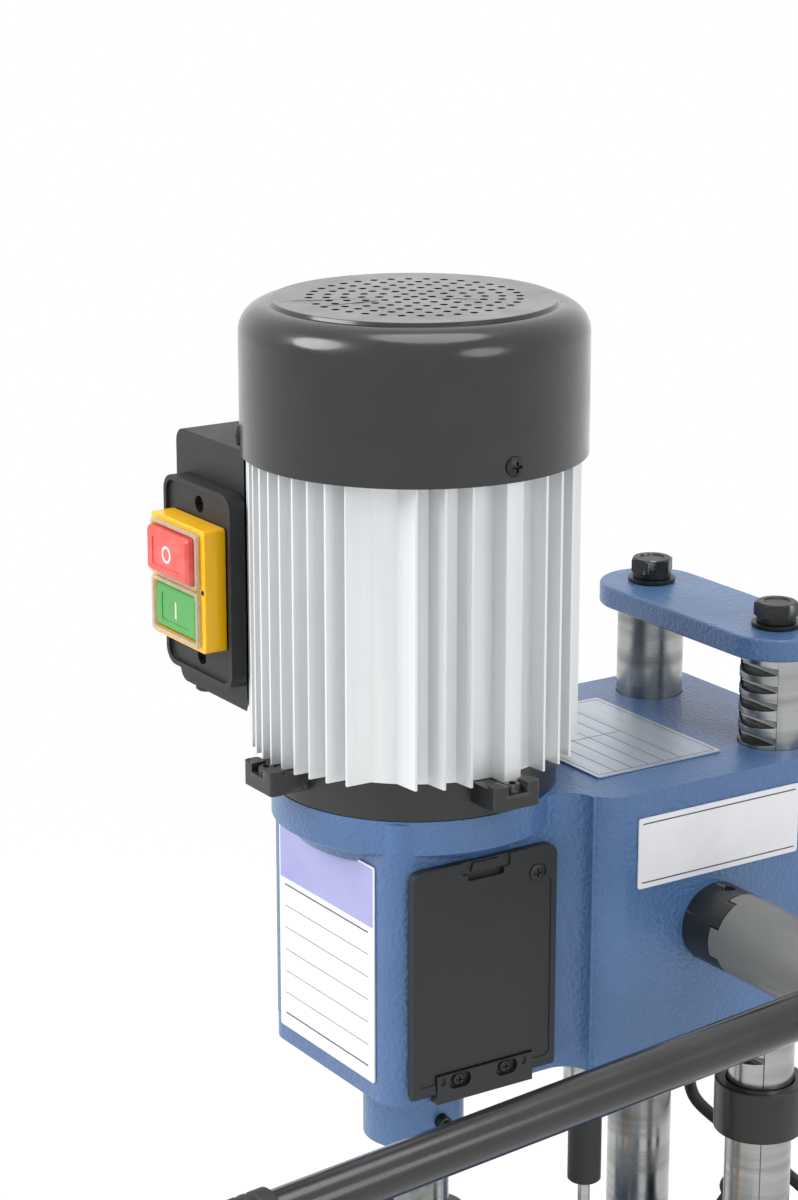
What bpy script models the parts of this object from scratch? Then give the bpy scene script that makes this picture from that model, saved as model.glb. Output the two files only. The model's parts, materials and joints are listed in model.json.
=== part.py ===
"""Benchtop hollow-chisel mortiser: base, two columns, sliding head with its motor, lever and fence.

Metres, +Z up, front towards -Y. The origin is on the base's underside, below the spindle.
Heights named *_UP are measured from the head's top, and heights named *_DOWN below it.
"""
import math

import bmesh
import bpy
from mathutils import Matrix, Vector

# General clearances and counts
GAP = 0.0003
OVERRUN = 0.003
BEND_STEPS = 3
FINE_SIDES = 20
ROUND_SIDES = 16
SMALL_SIDES = 12
SCREW_SIDES = 8
BOLT_SIDES = 12
HEX_SIDES = 6
FLAT_TOP = math.radians(30)

# Base, table board and bench bolt holes
BASE_HEIGHT = 0.0597
BASE_HALF_WIDTH = 0.135
BASE_FRONT = -0.140
BASE_BACK = 0.232
BASE_CORNER = 0.024
BASE_WALL = 0.009
BASE_ROOF = 0.010
RIB_WIDTH = 0.012
BENCH_HOLE_RADIUS = 0.0055
BENCH_HOLE_INSET = 0.020
SOCKET_WALL = 0.009
SOCKET_FLOOR = 0.008
BOARD_THICKNESS = 0.018
BOARD_HALF_WIDTH = 0.097
BOARD_FRONT = -0.134
BOARD_BACK = 0.066
BOARD_CORNER = 0.006
BOARD_SCREW_INSET = 0.014
BOARD_SCREW_RADIUS = 0.0025
BOARD_SCREW_HEAD_RADIUS = 0.0050
BOLT_PILLAR_RADIUS = 0.016
SOCKET_TOP = 0.088

# Columns, their top plate and the rack
COLUMN_RADIUS = 0.015
COLUMN_X = 0.0439
COLUMN_Y = 0.158
PLATE_THICKNESS = 0.010
PLATE_MARGIN = 0.0085
PLATE_BEVEL = 0.0015
PLATE_BOLT_RADIUS = 0.005
PLATE_BOLT_DEPTH = 0.022
BOLT_HEAD_RADIUS = 0.0098
BOLT_HEAD_HEIGHT = 0.0064
WASHER_RADIUS = 0.0107
WASHER_THICKNESS = 0.0017
SPRING_WASHER_RADIUS = 0.0086
SPRING_WASHER_THICKNESS = 0.0026
RACK_PITCH = 0.007854
RACK_TOP_SLOT_UP = 0.0351
RACK_SLOTS = 24
RACK_DEPTH = 0.0065
RACK_MOUTH_HALF = 0.0027
RACK_FLOOR_HALF = 0.0013
RACK_ADDENDUM = 0.0025

# Head position and travel
WORK_HEIGHT = 0.217
UP_TRAVEL = 0.041
DOWN_TRAVEL = 0.0355
STOP_GAP = 0.001

# Head casting
HEAD_HEIGHT = 0.123
PLATE_HALF_X = 0.0375
PLATE_TOP_DOWN = 0.020
PLATE_BOTTOM_DOWN = 0.115
LABEL_THICKNESS = 0.0006
RATING_HALF_X = 0.045
RATING_FRONT = 0.063
RATING_BACK = 0.129
SIDE_LABEL_FRONT = 0.066
SIDE_LABEL_BACK = 0.152
SIDE_LABEL_TOP_DOWN = 0.011
SIDE_LABEL_BOTTOM_DOWN = 0.042
REAR_HALF_WIDTH = 0.069
REAR_FRONT = 0.048
REAR_BACK = 0.188
REAR_CORNER = 0.014
FRONT_HALF_WIDTH = 0.050
FRONT_FACE = -0.043
FRONT_CORNER = 0.012
PAD_RADIUS = 0.060
PAD_DEPTH = 0.013
PAD_PROUD = 0.0012
STEP_FILLET = 0.012
PAD_TAPER = 0.006
NECK_RADIUS = 0.051
BOSS_RADIUS = 0.02185
BOSS_LENGTH = 0.038
CHAMBER_WALL = 0.008
CHAMBER_TOP_DOWN = 0.022
CHAMBER_BACK = 0.034
CHAMBER_FLOOR = 0.007
WINDOW_HALF_WIDTH = 0.029
WINDOW_TOP_DOWN = 0.026
WINDOW_HEIGHT = 0.084
SHAFT_HOLE_RADIUS = 0.022
CELL_WIDTH = 0.0265
CELL_OFFSET = 0.0028
CELL_FRONT = 0.0615
CELL_BACK = 0.136
POCKET_BACK = 0.1505
POCKET_BOTTOM_DOWN = 0.1085
CELL_TOP_DOWN = 0.018
REAR_CELL_HALF_WIDTH = 0.019
REAR_CELL_FRONT = 0.122
REAR_CELL_TOP_DOWN = 0.014

# Motor
MOTOR_RING_RADIUS = 0.0597
MOTOR_RING_HEIGHT = 0.0172
MOTOR_RING_PLATE = 0.007
LUG_HALF_WIDTH = 0.011
LUG_REACH = 0.076
LUG_TOP_UP = 0.0187
LUG_HEIGHT = 0.0102
LUG_NOTCH_HALF = 0.0046
LUG_NOTCH_DEPTH = 0.004
LUG_NOTCH_START = 0.0665
LUG_BOLT_RADIUS = 0.0022
LUG_SEAT = 0.0038
BODY_CORE_RADIUS = 0.0600
BODY_BORE_RADIUS = 0.052
FIN_TIP_RADIUS = 0.0684
FIN_TIP_HALF = 0.0005
FIN_ROOT_HALF = 0.00125
RIB_TIP_RADIUS = 0.0689
RIB_HALF = 0.0040
BODY_TOP_UP = 0.1427
SIDE_FINS = (-0.0385, -0.0285, -0.0180, 0.0180, 0.0285, 0.0385)
SIDE_RIB = (0,)
FACE_FINS = (-0.036, -0.028, -0.020, -0.012, -0.004, 0.004, 0.012, 0.020, 0.028, 0.036)
FIN_TWIST = math.radians(1.8)
FACE_RIB = ()
SHIELD_RADIUS = 0.0690
SHIELD_HEIGHT = 0.0095
SHIELD_HUB_RADIUS = 0.024
SHIELD_HUB_HEIGHT = 0.006
BEARING_OUTER = 0.0175
BEARING_INNER = 0.0075
BEARING_WIDTH = 0.011
BEARING_LIP = 0.003
STATOR_BOTTOM_UP = 0.045
STATOR_TOP_UP = 0.105
AIR_GAP = 0.0008
ROTOR_RADIUS = 0.0325
MOTOR_SHAFT_RADIUS = 0.0072
MOTOR_SHAFT_TOP_UP = 0.190
FAN_BOTTOM_UP = 0.168
FAN_HEIGHT = 0.018
FAN_RADIUS = 0.058
FAN_HUB_RADIUS = 0.014
FAN_BLADES = 6
FAN_BLADE_HALF = 0.0012
COWL_RADIUS = 0.0713
COWL_WALL = 0.0015
COWL_BOTTOM_UP = 0.1414
COWL_TOP_UP = 0.204
COWL_SHOULDER = 0.012
COWL_STEP = 0.0014
COWL_SCREWS = 3
COWL_SCREW_UP = 0.1478
COWL_SCREW_RADIUS = 0.0021
COWL_SCREW_LENGTH = 0.009

# Chuck, bit and hollow chisel
CHUCK_RADIUS = 0.017
CHUCK_TOP_DOWN = 0.030
CHUCK_LENGTH = 0.048
CHUCK_NOSE_LENGTH = 0.012
CHUCK_RING_RADIUS = 0.0215
CHUCK_NOSE_WALL = 0.0020
CHUCK_RING_HEIGHT = 0.014
CHUCK_RING_DOWN = 0.040
JAW_RADIUS = 0.0088
JAW_TOP_DOWN = 0.072
JAW_BOTTOM_DOWN = 0.090
JAW_GAP = 0.0016
JAW_RING_HEIGHT = 0.003
CHUCK_SOCKET_DEPTH = 0.018
BIT_RADIUS = 0.0045
BIT_GRIP = 0.015
BIT_HALF_THICKNESS = 0.0018
BIT_TWIST_PITCH = 0.022
BIT_TWIST_STEPS = 5
BIT_PROUD = 0.002
CHISEL_HALF = 0.00635
CHISEL_BORE = 0.0054
CHISEL_SHANK_RADIUS = 0.0095
CHISEL_SHANK_LENGTH = 0.042
CHISEL_LENGTH = 0.111
CHISEL_SLOT_HALF = 0.0034
CHISEL_SLOT_LENGTH = 0.030
CHISEL_SLOT_FROM_TIP = 0.024
CHISEL_SCREW_RADIUS = 0.003
CHISEL_SCREW_DOWN = 0.149
CHISEL_SCREW_PROUD = 0.004

# Chuck covers
COVER_HALF_WIDTH = 0.0357
COVER_TOP_DOWN = 0.0195
COVER_THICKNESS = 0.0037
COVER_CORNER = 0.005
HINGE_DOWN = 0.1172
KNUCKLE_RADIUS = 0.0020
STRIP_HALF_WIDTH = 0.0240
STRIP_TOP_DOWN = 0.1106
STRIP_BOTTOM_DOWN = 0.1230
STRIP_THICKNESS = 0.0043
HINGE_SLOT_RADIUS = 0.0034
HINGE_SLOT_LENGTH = 0.004
HINGE_SLOT_DEPTH = 0.002
HINGE_SCREW_HALF_SPACING = 0.0117
HINGE_SCREW_Y = -0.0009
HINGE_SCREW_DOWN = 0.1143

# Switch on the motor's left front
SWITCH_X = -0.0618
BOX_HALF_WIDTH = 0.0308
BOX_FRONT = -0.0597
BOX_BOTTOM_UP = 0.0296
BOX_TOP_UP = 0.1408
BOX_WALL = 0.0022
BOX_CORNER = 0.006
BOX_BACK_REACH = 0.060
FACE_HALF_WIDTH = 0.0281
FACE_BOTTOM_UP = 0.0396
FACE_TOP_UP = 0.1228
FACE_DEPTH = 0.0082
FACE_RIM = 0.0022
FACE_FLOOR_DROP = 0.0016
FACE_CORNER = 0.007
FACE_SCREW_RADIUS = 0.0026
FACE_SCREW_INSET = 0.0082
COVER_BOX_HALF_WIDTH = 0.0225
COVER_BOX_BOTTOM_UP = 0.0560
COVER_BOX_TOP_UP = 0.1085
COVER_BOX_DEPTH = 0.0104
COVER_BOX_CORNER = 0.002
FRAME_HALF_WIDTH = 0.0196
FRAME_HALF_HEIGHT = 0.0119
FRAME_RIM = 0.0018
FRAME_PROUD = 0.0020
BUTTON_PITCH = 0.0247
BUTTON_CLEARANCE = 0.0005
STOP_PROUD = 0.0036
START_PROUD = -0.0004
BUTTON_TAPER = 0.0014
BUTTON_STEM_RADIUS = 0.004
BUTTON_TRAVEL = 0.003
BLOCK_HALF_HEIGHT = 0.022
BLOCK_DEPTH = 0.010
BLOCK_RIGHT_OF_STEM = 0.0053
CLEARANCE_SIDES = 96

# Feed pinion, dog clutch and lever
PINION_TEETH = 30
PINION_HALF_WIDTH = 0.0087
PINION_TIP_HALF = 0.0009
PINION_ROOT_HALF = 0.0021
PINION_ROOT_DEPTH = 0.0034
HUB_DOWN = 0.065
FEED_SHAFT_RADIUS = 0.009
DOG_RADIUS = 0.0174
DOG_COLLAR_LENGTH = 0.022
DOG_HEIGHT = 0.005
DOG_COUNT = 4
DOG_CLEARANCE = 0.0004
DOG_GAP_HALF_ANGLE = 23.5
DOG_ROOT = 0.004
SHAFT_END = 0.172
HUB_WEB = 0.004
HUB_SCREW_RADIUS = 0.003
HUB_SCREW_DEPTH = 0.012
HUB_SCREW_HEAD_RADIUS = 0.0085
HUB_SCREW_HEAD = 0.004
HUB_SCREW_REACH = 0.022
HUB_RECESS_RADIUS = 0.0125
SET_SCREW_RADIUS = 0.0025
SET_SCREW_DEPTH = 0.0030
LEVER_STUD_RADIUS = 0.0048
LEVER_START = 0.0126
LEVER_GRIP = 0.045
LEVER_GRIP_WALL = 0.0016
LEVER_X = 0.162
HUB_END_MARGIN = 0.039
LEVER_RADIUS = 0.0093
LEVER_SLOPE = math.radians(4.65)
LEVER_REACH = 0.320

# Counterbalance spring unit
SPRING_Y = 0.078
SPRING_X = 0.020
ROD_SEAT = 0.008
SPRING_TUBE_RADIUS = 0.010
SPRING_TUBE_WALL = 0.0015
SPRING_TUBE_TOP_DOWN = 0.038
SPRING_TUBE_BOTTOM_DOWN = 0.165
SPRING_TUBE_ROOF = 0.002
SLEEVE_RADIUS = 0.0075
SLEEVE_BOTTOM_DOWN = 0.198
ROD_RADIUS = 0.00275
PISTON_RADIUS = 0.0080
PISTON_HEIGHT = 0.004
PISTON_TOP_DOWN = 0.106
ROD_NUT_RADIUS = 0.0065
ROD_NUT_HEIGHT = 0.005
COIL_RADIUS = 0.0062
WIRE_RADIUS = 0.0009
SPRING_TURNS = 9
SPRING_POINTS = 8

# Depth stop collar
COLLAR_RADIUS = 0.0205
COLLAR_HEIGHT = 0.0242
COLLAR_SCREW_RADIUS = 0.003
COLLAR_SCREW_PROUD = 0.005

# Fence, its bar, block and knob
FENCE_FACE = 0.025
FENCE_THICKNESS = 0.009
FENCE_HALF_WIDTH = 0.140
FENCE_HEIGHT = 0.0545
FENCE_CLEARANCE = 0.0005
FENCE_CORNER = 0.010
FENCE_BAR_RADIUS = 0.008
FENCE_BAR_ABOVE_TABLE = 0.035
FENCE_BAR_END = 0.225
FENCE_SPIGOT_RADIUS = 0.0047
FENCE_SPIGOT = 0.006
BRACKET_HALF_WIDTH = 0.017
BRACKET_FRONT = 0.145
BRACKET_BACK = 0.181
BRACKET_CORNER = 0.003
BRACKET_SCREW_INSET = 0.0055
BRACKET_SCREW_BITE = 0.014
BRACKET_ABOVE_TABLE = 0.072
LOCK_Y = 0.163
LOCK_STEM_RADIUS = 0.004
LOCK_HUB_RADIUS = 0.009
LOCK_HUB_HEIGHT = 0.020
LOCK_ARM_RADIUS = 0.0032
LOCK_ARM_LENGTH = 0.026
LOCK_ARM_RISE = math.radians(48)
LOCK_BALL_RADIUS = 0.0060
LOCK_TIP_GAP = 0.0005

# Hold-down
POST_Y = 0.044
POST_RADIUS = 0.007
POST_X = -0.050
POST_SEAT_ABOVE_TABLE = 0.010
POST_ABOVE_TABLE = 0.160
POST_BOSS_RADIUS = 0.014
ARM_ABOVE_TABLE = 0.090
ARM_THICKNESS = 0.006
ARM_HUB_RADIUS = 0.014
ARM_HUB_HEIGHT = 0.018
ARM_RIGHT = 0.020
ARM_SLOT_HALF = 0.009
ARM_FRONT = -0.040
ARM_SLOT_BACK = 0.019
ARM_BACK = 0.038
ARM_CORNER = 0.006
ARM_LEFT = -0.020
ARM_NOTCH_BACK = 0.024
SIDE_KNOB_RADIUS = 0.010
SIDE_KNOB_LENGTH = 0.012
SIDE_KNOB_STEM = 0.003
SIDE_KNOB_REACH = 0.009
SIDE_KNOB_SIDES = 12
SIDE_KNOB_DIMPLE_SHARE = 0.86

# Mains lead: its route is chosen by hand, from the gland under the head to the coil behind the base
CORD_RADIUS = 0.003
CORD_SIDES = 2
CORD_STEPS = 2
GLAND_X = -0.030
GLAND_Y = 0.1805
GLAND_SHANK_RADIUS = 0.0040
GLAND_SHANK = 0.012
GLAND_NUT_RADIUS = 0.0085
GLAND_NUT = 0.0167
GLAND_TIP_RADIUS = 0.0043
GLAND_LENGTH = 0.042
CORD_ROUTE = (
    (-0.0300, 0.1805, 0.2527), (-0.0303, 0.1806, 0.2460), (-0.0320, 0.1810, 0.2360), (-0.0360, 0.1825, 0.2250),
    (-0.0385, 0.1845, 0.2155), (-0.0365, 0.1870, 0.2080), (-0.0290, 0.1905, 0.2023), (-0.0150, 0.1940, 0.1975),
    (0.0000, 0.1970, 0.1930), (0.0190, 0.2000, 0.1870), (0.0320, 0.2025, 0.1815), (0.0450, 0.2060, 0.1730),
    (0.0560, 0.2100, 0.1600), (0.0655, 0.2150, 0.1390), (0.0705, 0.2205, 0.1180), (0.0725, 0.2275, 0.0940),
    (0.0740, 0.2360, 0.0690), (0.0750, 0.2450, 0.0450), (0.0752, 0.2540, 0.0260), (0.0746, 0.2625, 0.0125),
    (0.0735, 0.2695, 0.0055), (0.0720, 0.2760, 0.0033), (0.0562, 0.2962, 0.0033), (0.0404, 0.3164, 0.0033),
)
COIL_CENTRE = (-0.012, 0.308)
COIL_LOW = 0.0033
COIL_INNER_RADIUS = 0.026
COIL_PITCH = 0.0068
COIL_LAYER_STEP = 0.0068
COIL_START = math.radians(38)
COIL_TURNS_IN = 3
COIL_TURNS_OUT = 3.1444
COIL_POINTS = 24
COIL_TAIL = 0.036
COIL_SOFT_TURN = 0.08
TAIL_STEPS = 6
TAIL_STRAIGHT = 0.007
CORD_JOINT_GAP = 0.0008
PLUG_HEIGHT = 0.0193
PLUG_BODY_RADIUS = 0.019
PLUG_BODY_LENGTH = 0.030
PLUG_NECK_RADIUS = 0.006
PLUG_NECK_LENGTH = 0.018
PLUG_PIN_RADIUS = 0.0024
PLUG_PIN_LENGTH = 0.019
PLUG_PIN_HALF_SPACING = 0.0095

# Worked-out places
TABLE_TOP = BASE_HEIGHT + GAP + BOARD_THICKNESS
HEAD_BOTTOM = TABLE_TOP + WORK_HEIGHT
HEAD_TOP = HEAD_BOTTOM + HEAD_HEIGHT
PLATE_BOTTOM = HEAD_TOP + UP_TRAVEL + STOP_GAP
PLATE_TOP = PLATE_BOTTOM + PLATE_THICKNESS
BOSS_BOTTOM = HEAD_BOTTOM - BOSS_LENGTH
COLLAR_TOP = HEAD_BOTTOM - DOWN_TRAVEL - STOP_GAP
HUB_Z = HEAD_TOP - HUB_DOWN
PINION_RADIUS = PINION_TEETH * RACK_PITCH / math.tau
HUB_Y = COLUMN_Y - COLUMN_RADIUS + RACK_ADDENDUM - PINION_RADIUS
COVER_INNER = FRONT_HALF_WIDTH + GAP
HINGE_X = COVER_INNER + KNUCKLE_RADIUS
HINGE_Z = HEAD_TOP - HINGE_DOWN
CHISEL_TIP = BOSS_BOTTOM - GAP - CHISEL_LENGTH
FLANGE_LOW = HEAD_TOP + PAD_PROUD + GAP
FACE_FRONT = BOX_FRONT - FACE_DEPTH
FACE_FLOOR = FACE_FRONT + FACE_FLOOR_DROP
COVER_FRONT = FACE_FLOOR - GAP - COVER_BOX_DEPTH
DOG_COLLAR_START = REAR_HALF_WIDTH + GAP
DOG_PLANE = DOG_COLLAR_START + DOG_COLLAR_LENGTH
HUB_END = LEVER_X + HUB_END_MARGIN
BUTTON_MIDDLE = HEAD_TOP + (COVER_BOX_BOTTOM_UP + COVER_BOX_TOP_UP) / 2
STOP_Z = BUTTON_MIDDLE + BUTTON_PITCH / 2
START_Z = BUTTON_MIDDLE - BUTTON_PITCH / 2
FENCE_BAR_Z = TABLE_TOP + FENCE_BAR_ABOVE_TABLE

# Colours are linear RGB with roughness and metallic values
FINISHES = {
    "blue_paint": ((0.075, 0.165, 0.365), 0.45, 0.0),
    "black_paint": ((0.028, 0.029, 0.028), 0.40, 0.0),
    "black_plastic": ((0.024, 0.025, 0.026), 0.55, 0.0),
    "black_oxide": ((0.045, 0.045, 0.043), 0.42, 0.7),
    "aluminium": ((0.66, 0.68, 0.70), 0.45, 0.9),
    "ground_steel": ((0.42, 0.42, 0.40), 0.30, 1.0),
    "bright_steel": ((0.52, 0.53, 0.54), 0.25, 1.0),
    "tool_steel": ((0.35, 0.35, 0.35), 0.35, 1.0),
    "lamination": ((0.20, 0.20, 0.21), 0.55, 0.8),
    "bronze": ((0.40, 0.24, 0.10), 0.40, 0.9),
    "yellow_plastic": ((1.0, 0.53, 0.0), 0.40, 0.0),
    "red_plastic": ((0.70, 0.08, 0.07), 0.35, 0.0),
    "green_plastic": ((0.08, 0.38, 0.10), 0.35, 0.0),
    "clear_plastic": ((0.55, 0.50, 0.46), 0.20, 0.0),
    "label": ((0.78, 0.78, 0.80), 0.50, 0.0),
    "board": ((0.50, 0.35, 0.20), 0.65, 0.0),
    "cord_rubber": ((0.022, 0.022, 0.022), 0.60, 0.0),
}


def clear_scene():
    """Remove every object of the open file."""
    for obj in list(bpy.data.objects):
        bpy.data.objects.remove(obj, do_unlink=True)


def finish_material(name):
    """Return the plain material of one finish, made once."""
    found = bpy.data.materials.get(name)
    if found is not None:
        return found
    colour, roughness, metallic = FINISHES[name]
    made = bpy.data.materials.new(name)
    made.use_nodes = True
    shader = made.node_tree.nodes["Principled BSDF"]
    shader.inputs["Base Color"].default_value = (*colour, 1.0)
    shader.inputs["Roughness"].default_value = roughness
    shader.inputs["Metallic"].default_value = metallic
    return made


def attach(obj, parent):
    """Parent obj without moving it: places stay in world coordinates."""
    obj.parent = parent
    obj.matrix_parent_inverse = Matrix.Translation(parent.location).inverted()


def pivot(name, place, parent=None):
    """Add an empty on a joint's axis, which carries the pieces that move about it."""
    empty = bpy.data.objects.new(name, None)
    bpy.context.collection.objects.link(empty)
    empty.location = place
    if parent is not None:
        attach(empty, parent)
    return empty


def solid(name, shape, finish, parent=None, place=(0, 0, 0), turn=(0, 0, 0)):
    """Turn a bmesh into a named object with its finish, place and parent."""
    bmesh.ops.recalc_face_normals(shape, faces=shape.faces)
    mesh = bpy.data.meshes.new(name)
    shape.to_mesh(mesh)
    shape.free()
    mesh.materials.append(finish_material(finish))
    mesh.shade_smooth()
    mesh.set_sharp_from_angle(angle=FLAT_TOP)
    obj = bpy.data.objects.new(name, mesh)
    bpy.context.collection.objects.link(obj)
    obj.location = place
    obj.rotation_euler = turn
    if parent is not None:
        attach(obj, parent)
    return obj


def combine(target, shape, operation, place=(0, 0, 0), turn=(0, 0, 0)):
    """Cut shape from target, or join it on, with a live Boolean and a hidden tool."""
    tool = solid(target.name + "_tool", shape, target.data.materials[0].name, target.parent, place, turn)
    tool.hide_render = True
    tool.display_type = "WIRE"
    step = target.modifiers.new(operation.lower(), "BOOLEAN")
    step.operation = operation
    step.object = tool


def cut(target, shape, place=(0, 0, 0), turn=(0, 0, 0)):
    """Cut shape out of target."""
    combine(target, shape, "DIFFERENCE", place, turn)


def join(target, shape, place=(0, 0, 0), turn=(0, 0, 0)):
    """Join shape to target as one body."""
    combine(target, shape, "UNION", place, turn)


def merged(shapes):
    """Put several separate shapes in one bmesh."""
    whole = bmesh.new()
    for shape in shapes:
        mesh = bpy.data.meshes.new("part_of_group")
        shape.to_mesh(mesh)
        shape.free()
        whole.from_mesh(mesh)
        bpy.data.meshes.remove(mesh)
    return whole


def moved(shape, place=(0, 0, 0), turn=(0, 0, 0)):
    """Turn, then move a shape."""
    spin = Matrix.Rotation(turn[2], 4, "Z") @ Matrix.Rotation(turn[1], 4, "Y") @ Matrix.Rotation(turn[0], 4, "X")
    bmesh.ops.transform(shape, matrix=Matrix.Translation(place) @ spin, verts=shape.verts)
    return shape


def around(count, make):
    """Several copies of a shape, turned evenly about Z."""
    return merged([moved(make(), (0, 0, 0), (0, 0, math.tau * k / count)) for k in range(count)])


def rotated(x, y, angle):
    """Turn a point about the origin of its plane."""
    return (x * math.cos(angle) - y * math.sin(angle), x * math.sin(angle) + y * math.cos(angle))


def extruded(outline, low, high):
    """Extrude a closed outline of (x, y) points from one height to another."""
    shape = bmesh.new()
    rings = [[shape.verts.new((x, y, z)) for x, y in outline] for z in (low, high)]
    count = len(outline)
    for index in range(count):
        after = (index + 1) % count
        shape.faces.new((rings[0][index], rings[0][after], rings[1][after], rings[1][index]))
    shape.faces.new(rings[0][::-1])
    shape.faces.new(rings[1])
    return shape


def turned(profile, sides=ROUND_SIDES):
    """Turn a closed (radius, height) profile about Z; points of no radius become poles."""
    shape = bmesh.new()
    rings = []
    for radius, height in profile:
        if radius == 0:
            rings.append([shape.verts.new((0, 0, height))])
            continue
        turns = [math.tau * side / sides for side in range(sides)]
        rings.append([shape.verts.new((radius * math.cos(t), radius * math.sin(t), height)) for t in turns])
    pairs = list(zip(rings, rings[1:]))
    if len(rings[0]) > 1 or len(rings[-1]) > 1:
        pairs.append((rings[-1], rings[0]))
    for first, second in pairs:
        for side in range(sides):
            after = (side + 1) % sides
            corners = [first[side % len(first)], first[after % len(first)]]
            corners += [second[after % len(second)], second[side % len(second)]]
            unique = list(dict.fromkeys(corners))
            if len(unique) > 2:
                shape.faces.new(unique)
    return shape


def cylinder(radius, low, high, sides=ROUND_SIDES):
    """A plain round bar about Z."""
    return turned(((0, low), (radius, low), (radius, high), (0, high)), sides)


def tube(outer, inner, low, high, sides=ROUND_SIDES):
    """A plain tube about Z."""
    return turned(((inner, low), (outer, low), (outer, high), (inner, high)), sides)


def block(x_range, y_range, z_range):
    """A box between three ranges."""
    (x0, x1), (y0, y1) = x_range, y_range
    return extruded(((x0, y0), (x1, y0), (x1, y1), (x0, y1)), *z_range)


def rounded(x_range, y_range, radius, steps=BEND_STEPS):
    """Outline of a rectangle with round corners."""
    (x0, x1), (y0, y1) = x_range, y_range
    centres = ((x1 - radius, y1 - radius), (x0 + radius, y1 - radius), (x0 + radius, y0 + radius), (x1 - radius, y0 + radius))
    points = []
    for quarter, (cx, cy) in enumerate(centres):
        for step in range(steps + 1):
            angle = math.pi / 2 * (quarter + step / steps)
            points.append((cx + radius * math.cos(angle), cy + radius * math.sin(angle)))
    return points


def arc(centre, radius, start, end, steps):
    """Points of an arc between two angles in degrees, both ends included."""
    angles = [math.radians(start + (end - start) * step / steps) for step in range(steps + 1)]
    return [(centre[0] + radius * math.cos(a), centre[1] + radius * math.sin(a)) for a in angles]


def hexagon(radius):
    """Outline of a hexagon."""
    return [(radius * math.cos(math.tau * k / HEX_SIDES), radius * math.sin(math.tau * k / HEX_SIDES)) for k in range(HEX_SIDES)]


ALONG_X = (0, math.pi / 2, 0)
ALONG_X_BACK = (0, -math.pi / 2, 0)
ALONG_Y = (-math.pi / 2, 0, 0)
ALONG_MINUS_Y = (math.pi / 2, 0, 0)


def column_places():
    """Centres of the plain and the rack column."""
    return ((-COLUMN_X, COLUMN_Y, 0), (COLUMN_X, COLUMN_Y, 0))


def column(name, x):
    """Ground steel column with a tapped hole in its top end."""
    low = SOCKET_FLOOR + GAP
    high = PLATE_BOTTOM - GAP
    obj = solid(name, cylinder(COLUMN_RADIUS, 0, high - low), "ground_steel", None, (x, COLUMN_Y, low))
    depth = PLATE_BOLT_DEPTH + PLATE_BOLT_RADIUS
    tap = cylinder(PLATE_BOLT_RADIUS + GAP, high - depth, high + OVERRUN, BOLT_SIDES)
    cut(obj, tap, (x, COLUMN_Y, 0))
    return obj


def rack_slot_heights():
    """Middle heights of the rack's slots, from the top down."""
    return [HEAD_TOP + RACK_TOP_SLOT_UP - RACK_PITCH * k for k in range(RACK_SLOTS)]


def column_plate():
    """Obround plate that ties the column tops together."""
    radius = COLUMN_RADIUS + PLATE_MARGIN
    half = COLUMN_X + radius
    outline = rounded((-half, half), (COLUMN_Y - radius, COLUMN_Y + radius), radius - GAP, 2 * BEND_STEPS)
    shape = extruded(outline, PLATE_BOTTOM, PLATE_TOP)
    plate = solid("column_plate", shape, "blue_paint")
    hole = PLATE_BOLT_RADIUS + GAP
    reach = (PLATE_BOTTOM - OVERRUN, PLATE_TOP + OVERRUN)
    holes = [moved(cylinder(hole, *reach, BOLT_SIDES), place) for place in column_places()]
    cut(plate, merged(holes))
    edge = plate.modifiers.new("edge", "BEVEL")
    edge.width = PLATE_BEVEL
    edge.segments = 1
    edge.limit_method = "ANGLE"
    edge.angle_limit = math.radians(60)


def plate_fasteners():
    """Hexagon bolts with a flat and a spring washer on each column."""
    for word, place in zip(("left", "right"), column_places()):
        solid("plate_bolt_" + word, moved(hex_bolt(), place), "black_oxide")


def hex_bolt():
    """One plate bolt: shank, flat washer, spring washer and six-sided head, as one closed skin."""
    shape = bmesh.new()
    seat = PLATE_TOP + GAP
    split = seat + WASHER_THICKNESS
    head_low = split + SPRING_WASHER_THICKNESS
    crown = head_low + BOLT_HEAD_HEIGHT
    shank = PLATE_BOLT_RADIUS
    wide = WASHER_RADIUS
    spring = SPRING_WASHER_RADIUS
    head = BOLT_HEAD_RADIUS
    levels = [(shank, PLATE_BOTTOM - PLATE_BOLT_DEPTH, 1), (shank, seat, 1), (wide, seat, 1), (wide, split, 1)]
    levels += [(spring, split, 1), (spring, head_low, 1), (head, head_low, 0), (head, crown, 0)]
    flat = math.cos(math.pi / HEX_SIDES)
    rings = []
    for radius, height, plain in levels:
        ring = []
        for k in range(BOLT_SIDES):
            reach = radius if plain or k % 2 == 0 else radius * flat
            angle = math.tau * k / BOLT_SIDES
            ring.append(shape.verts.new((reach * math.cos(angle), reach * math.sin(angle), height)))
        rings.append(ring)
    for first, second in zip(rings, rings[1:]):
        for k in range(BOLT_SIDES):
            after = (k + 1) % BOLT_SIDES
            shape.faces.new((first[k], first[after], second[after], second[k]))
    shape.faces.new(rings[0][::-1])
    shape.faces.new(rings[-1])
    return shape


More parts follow.
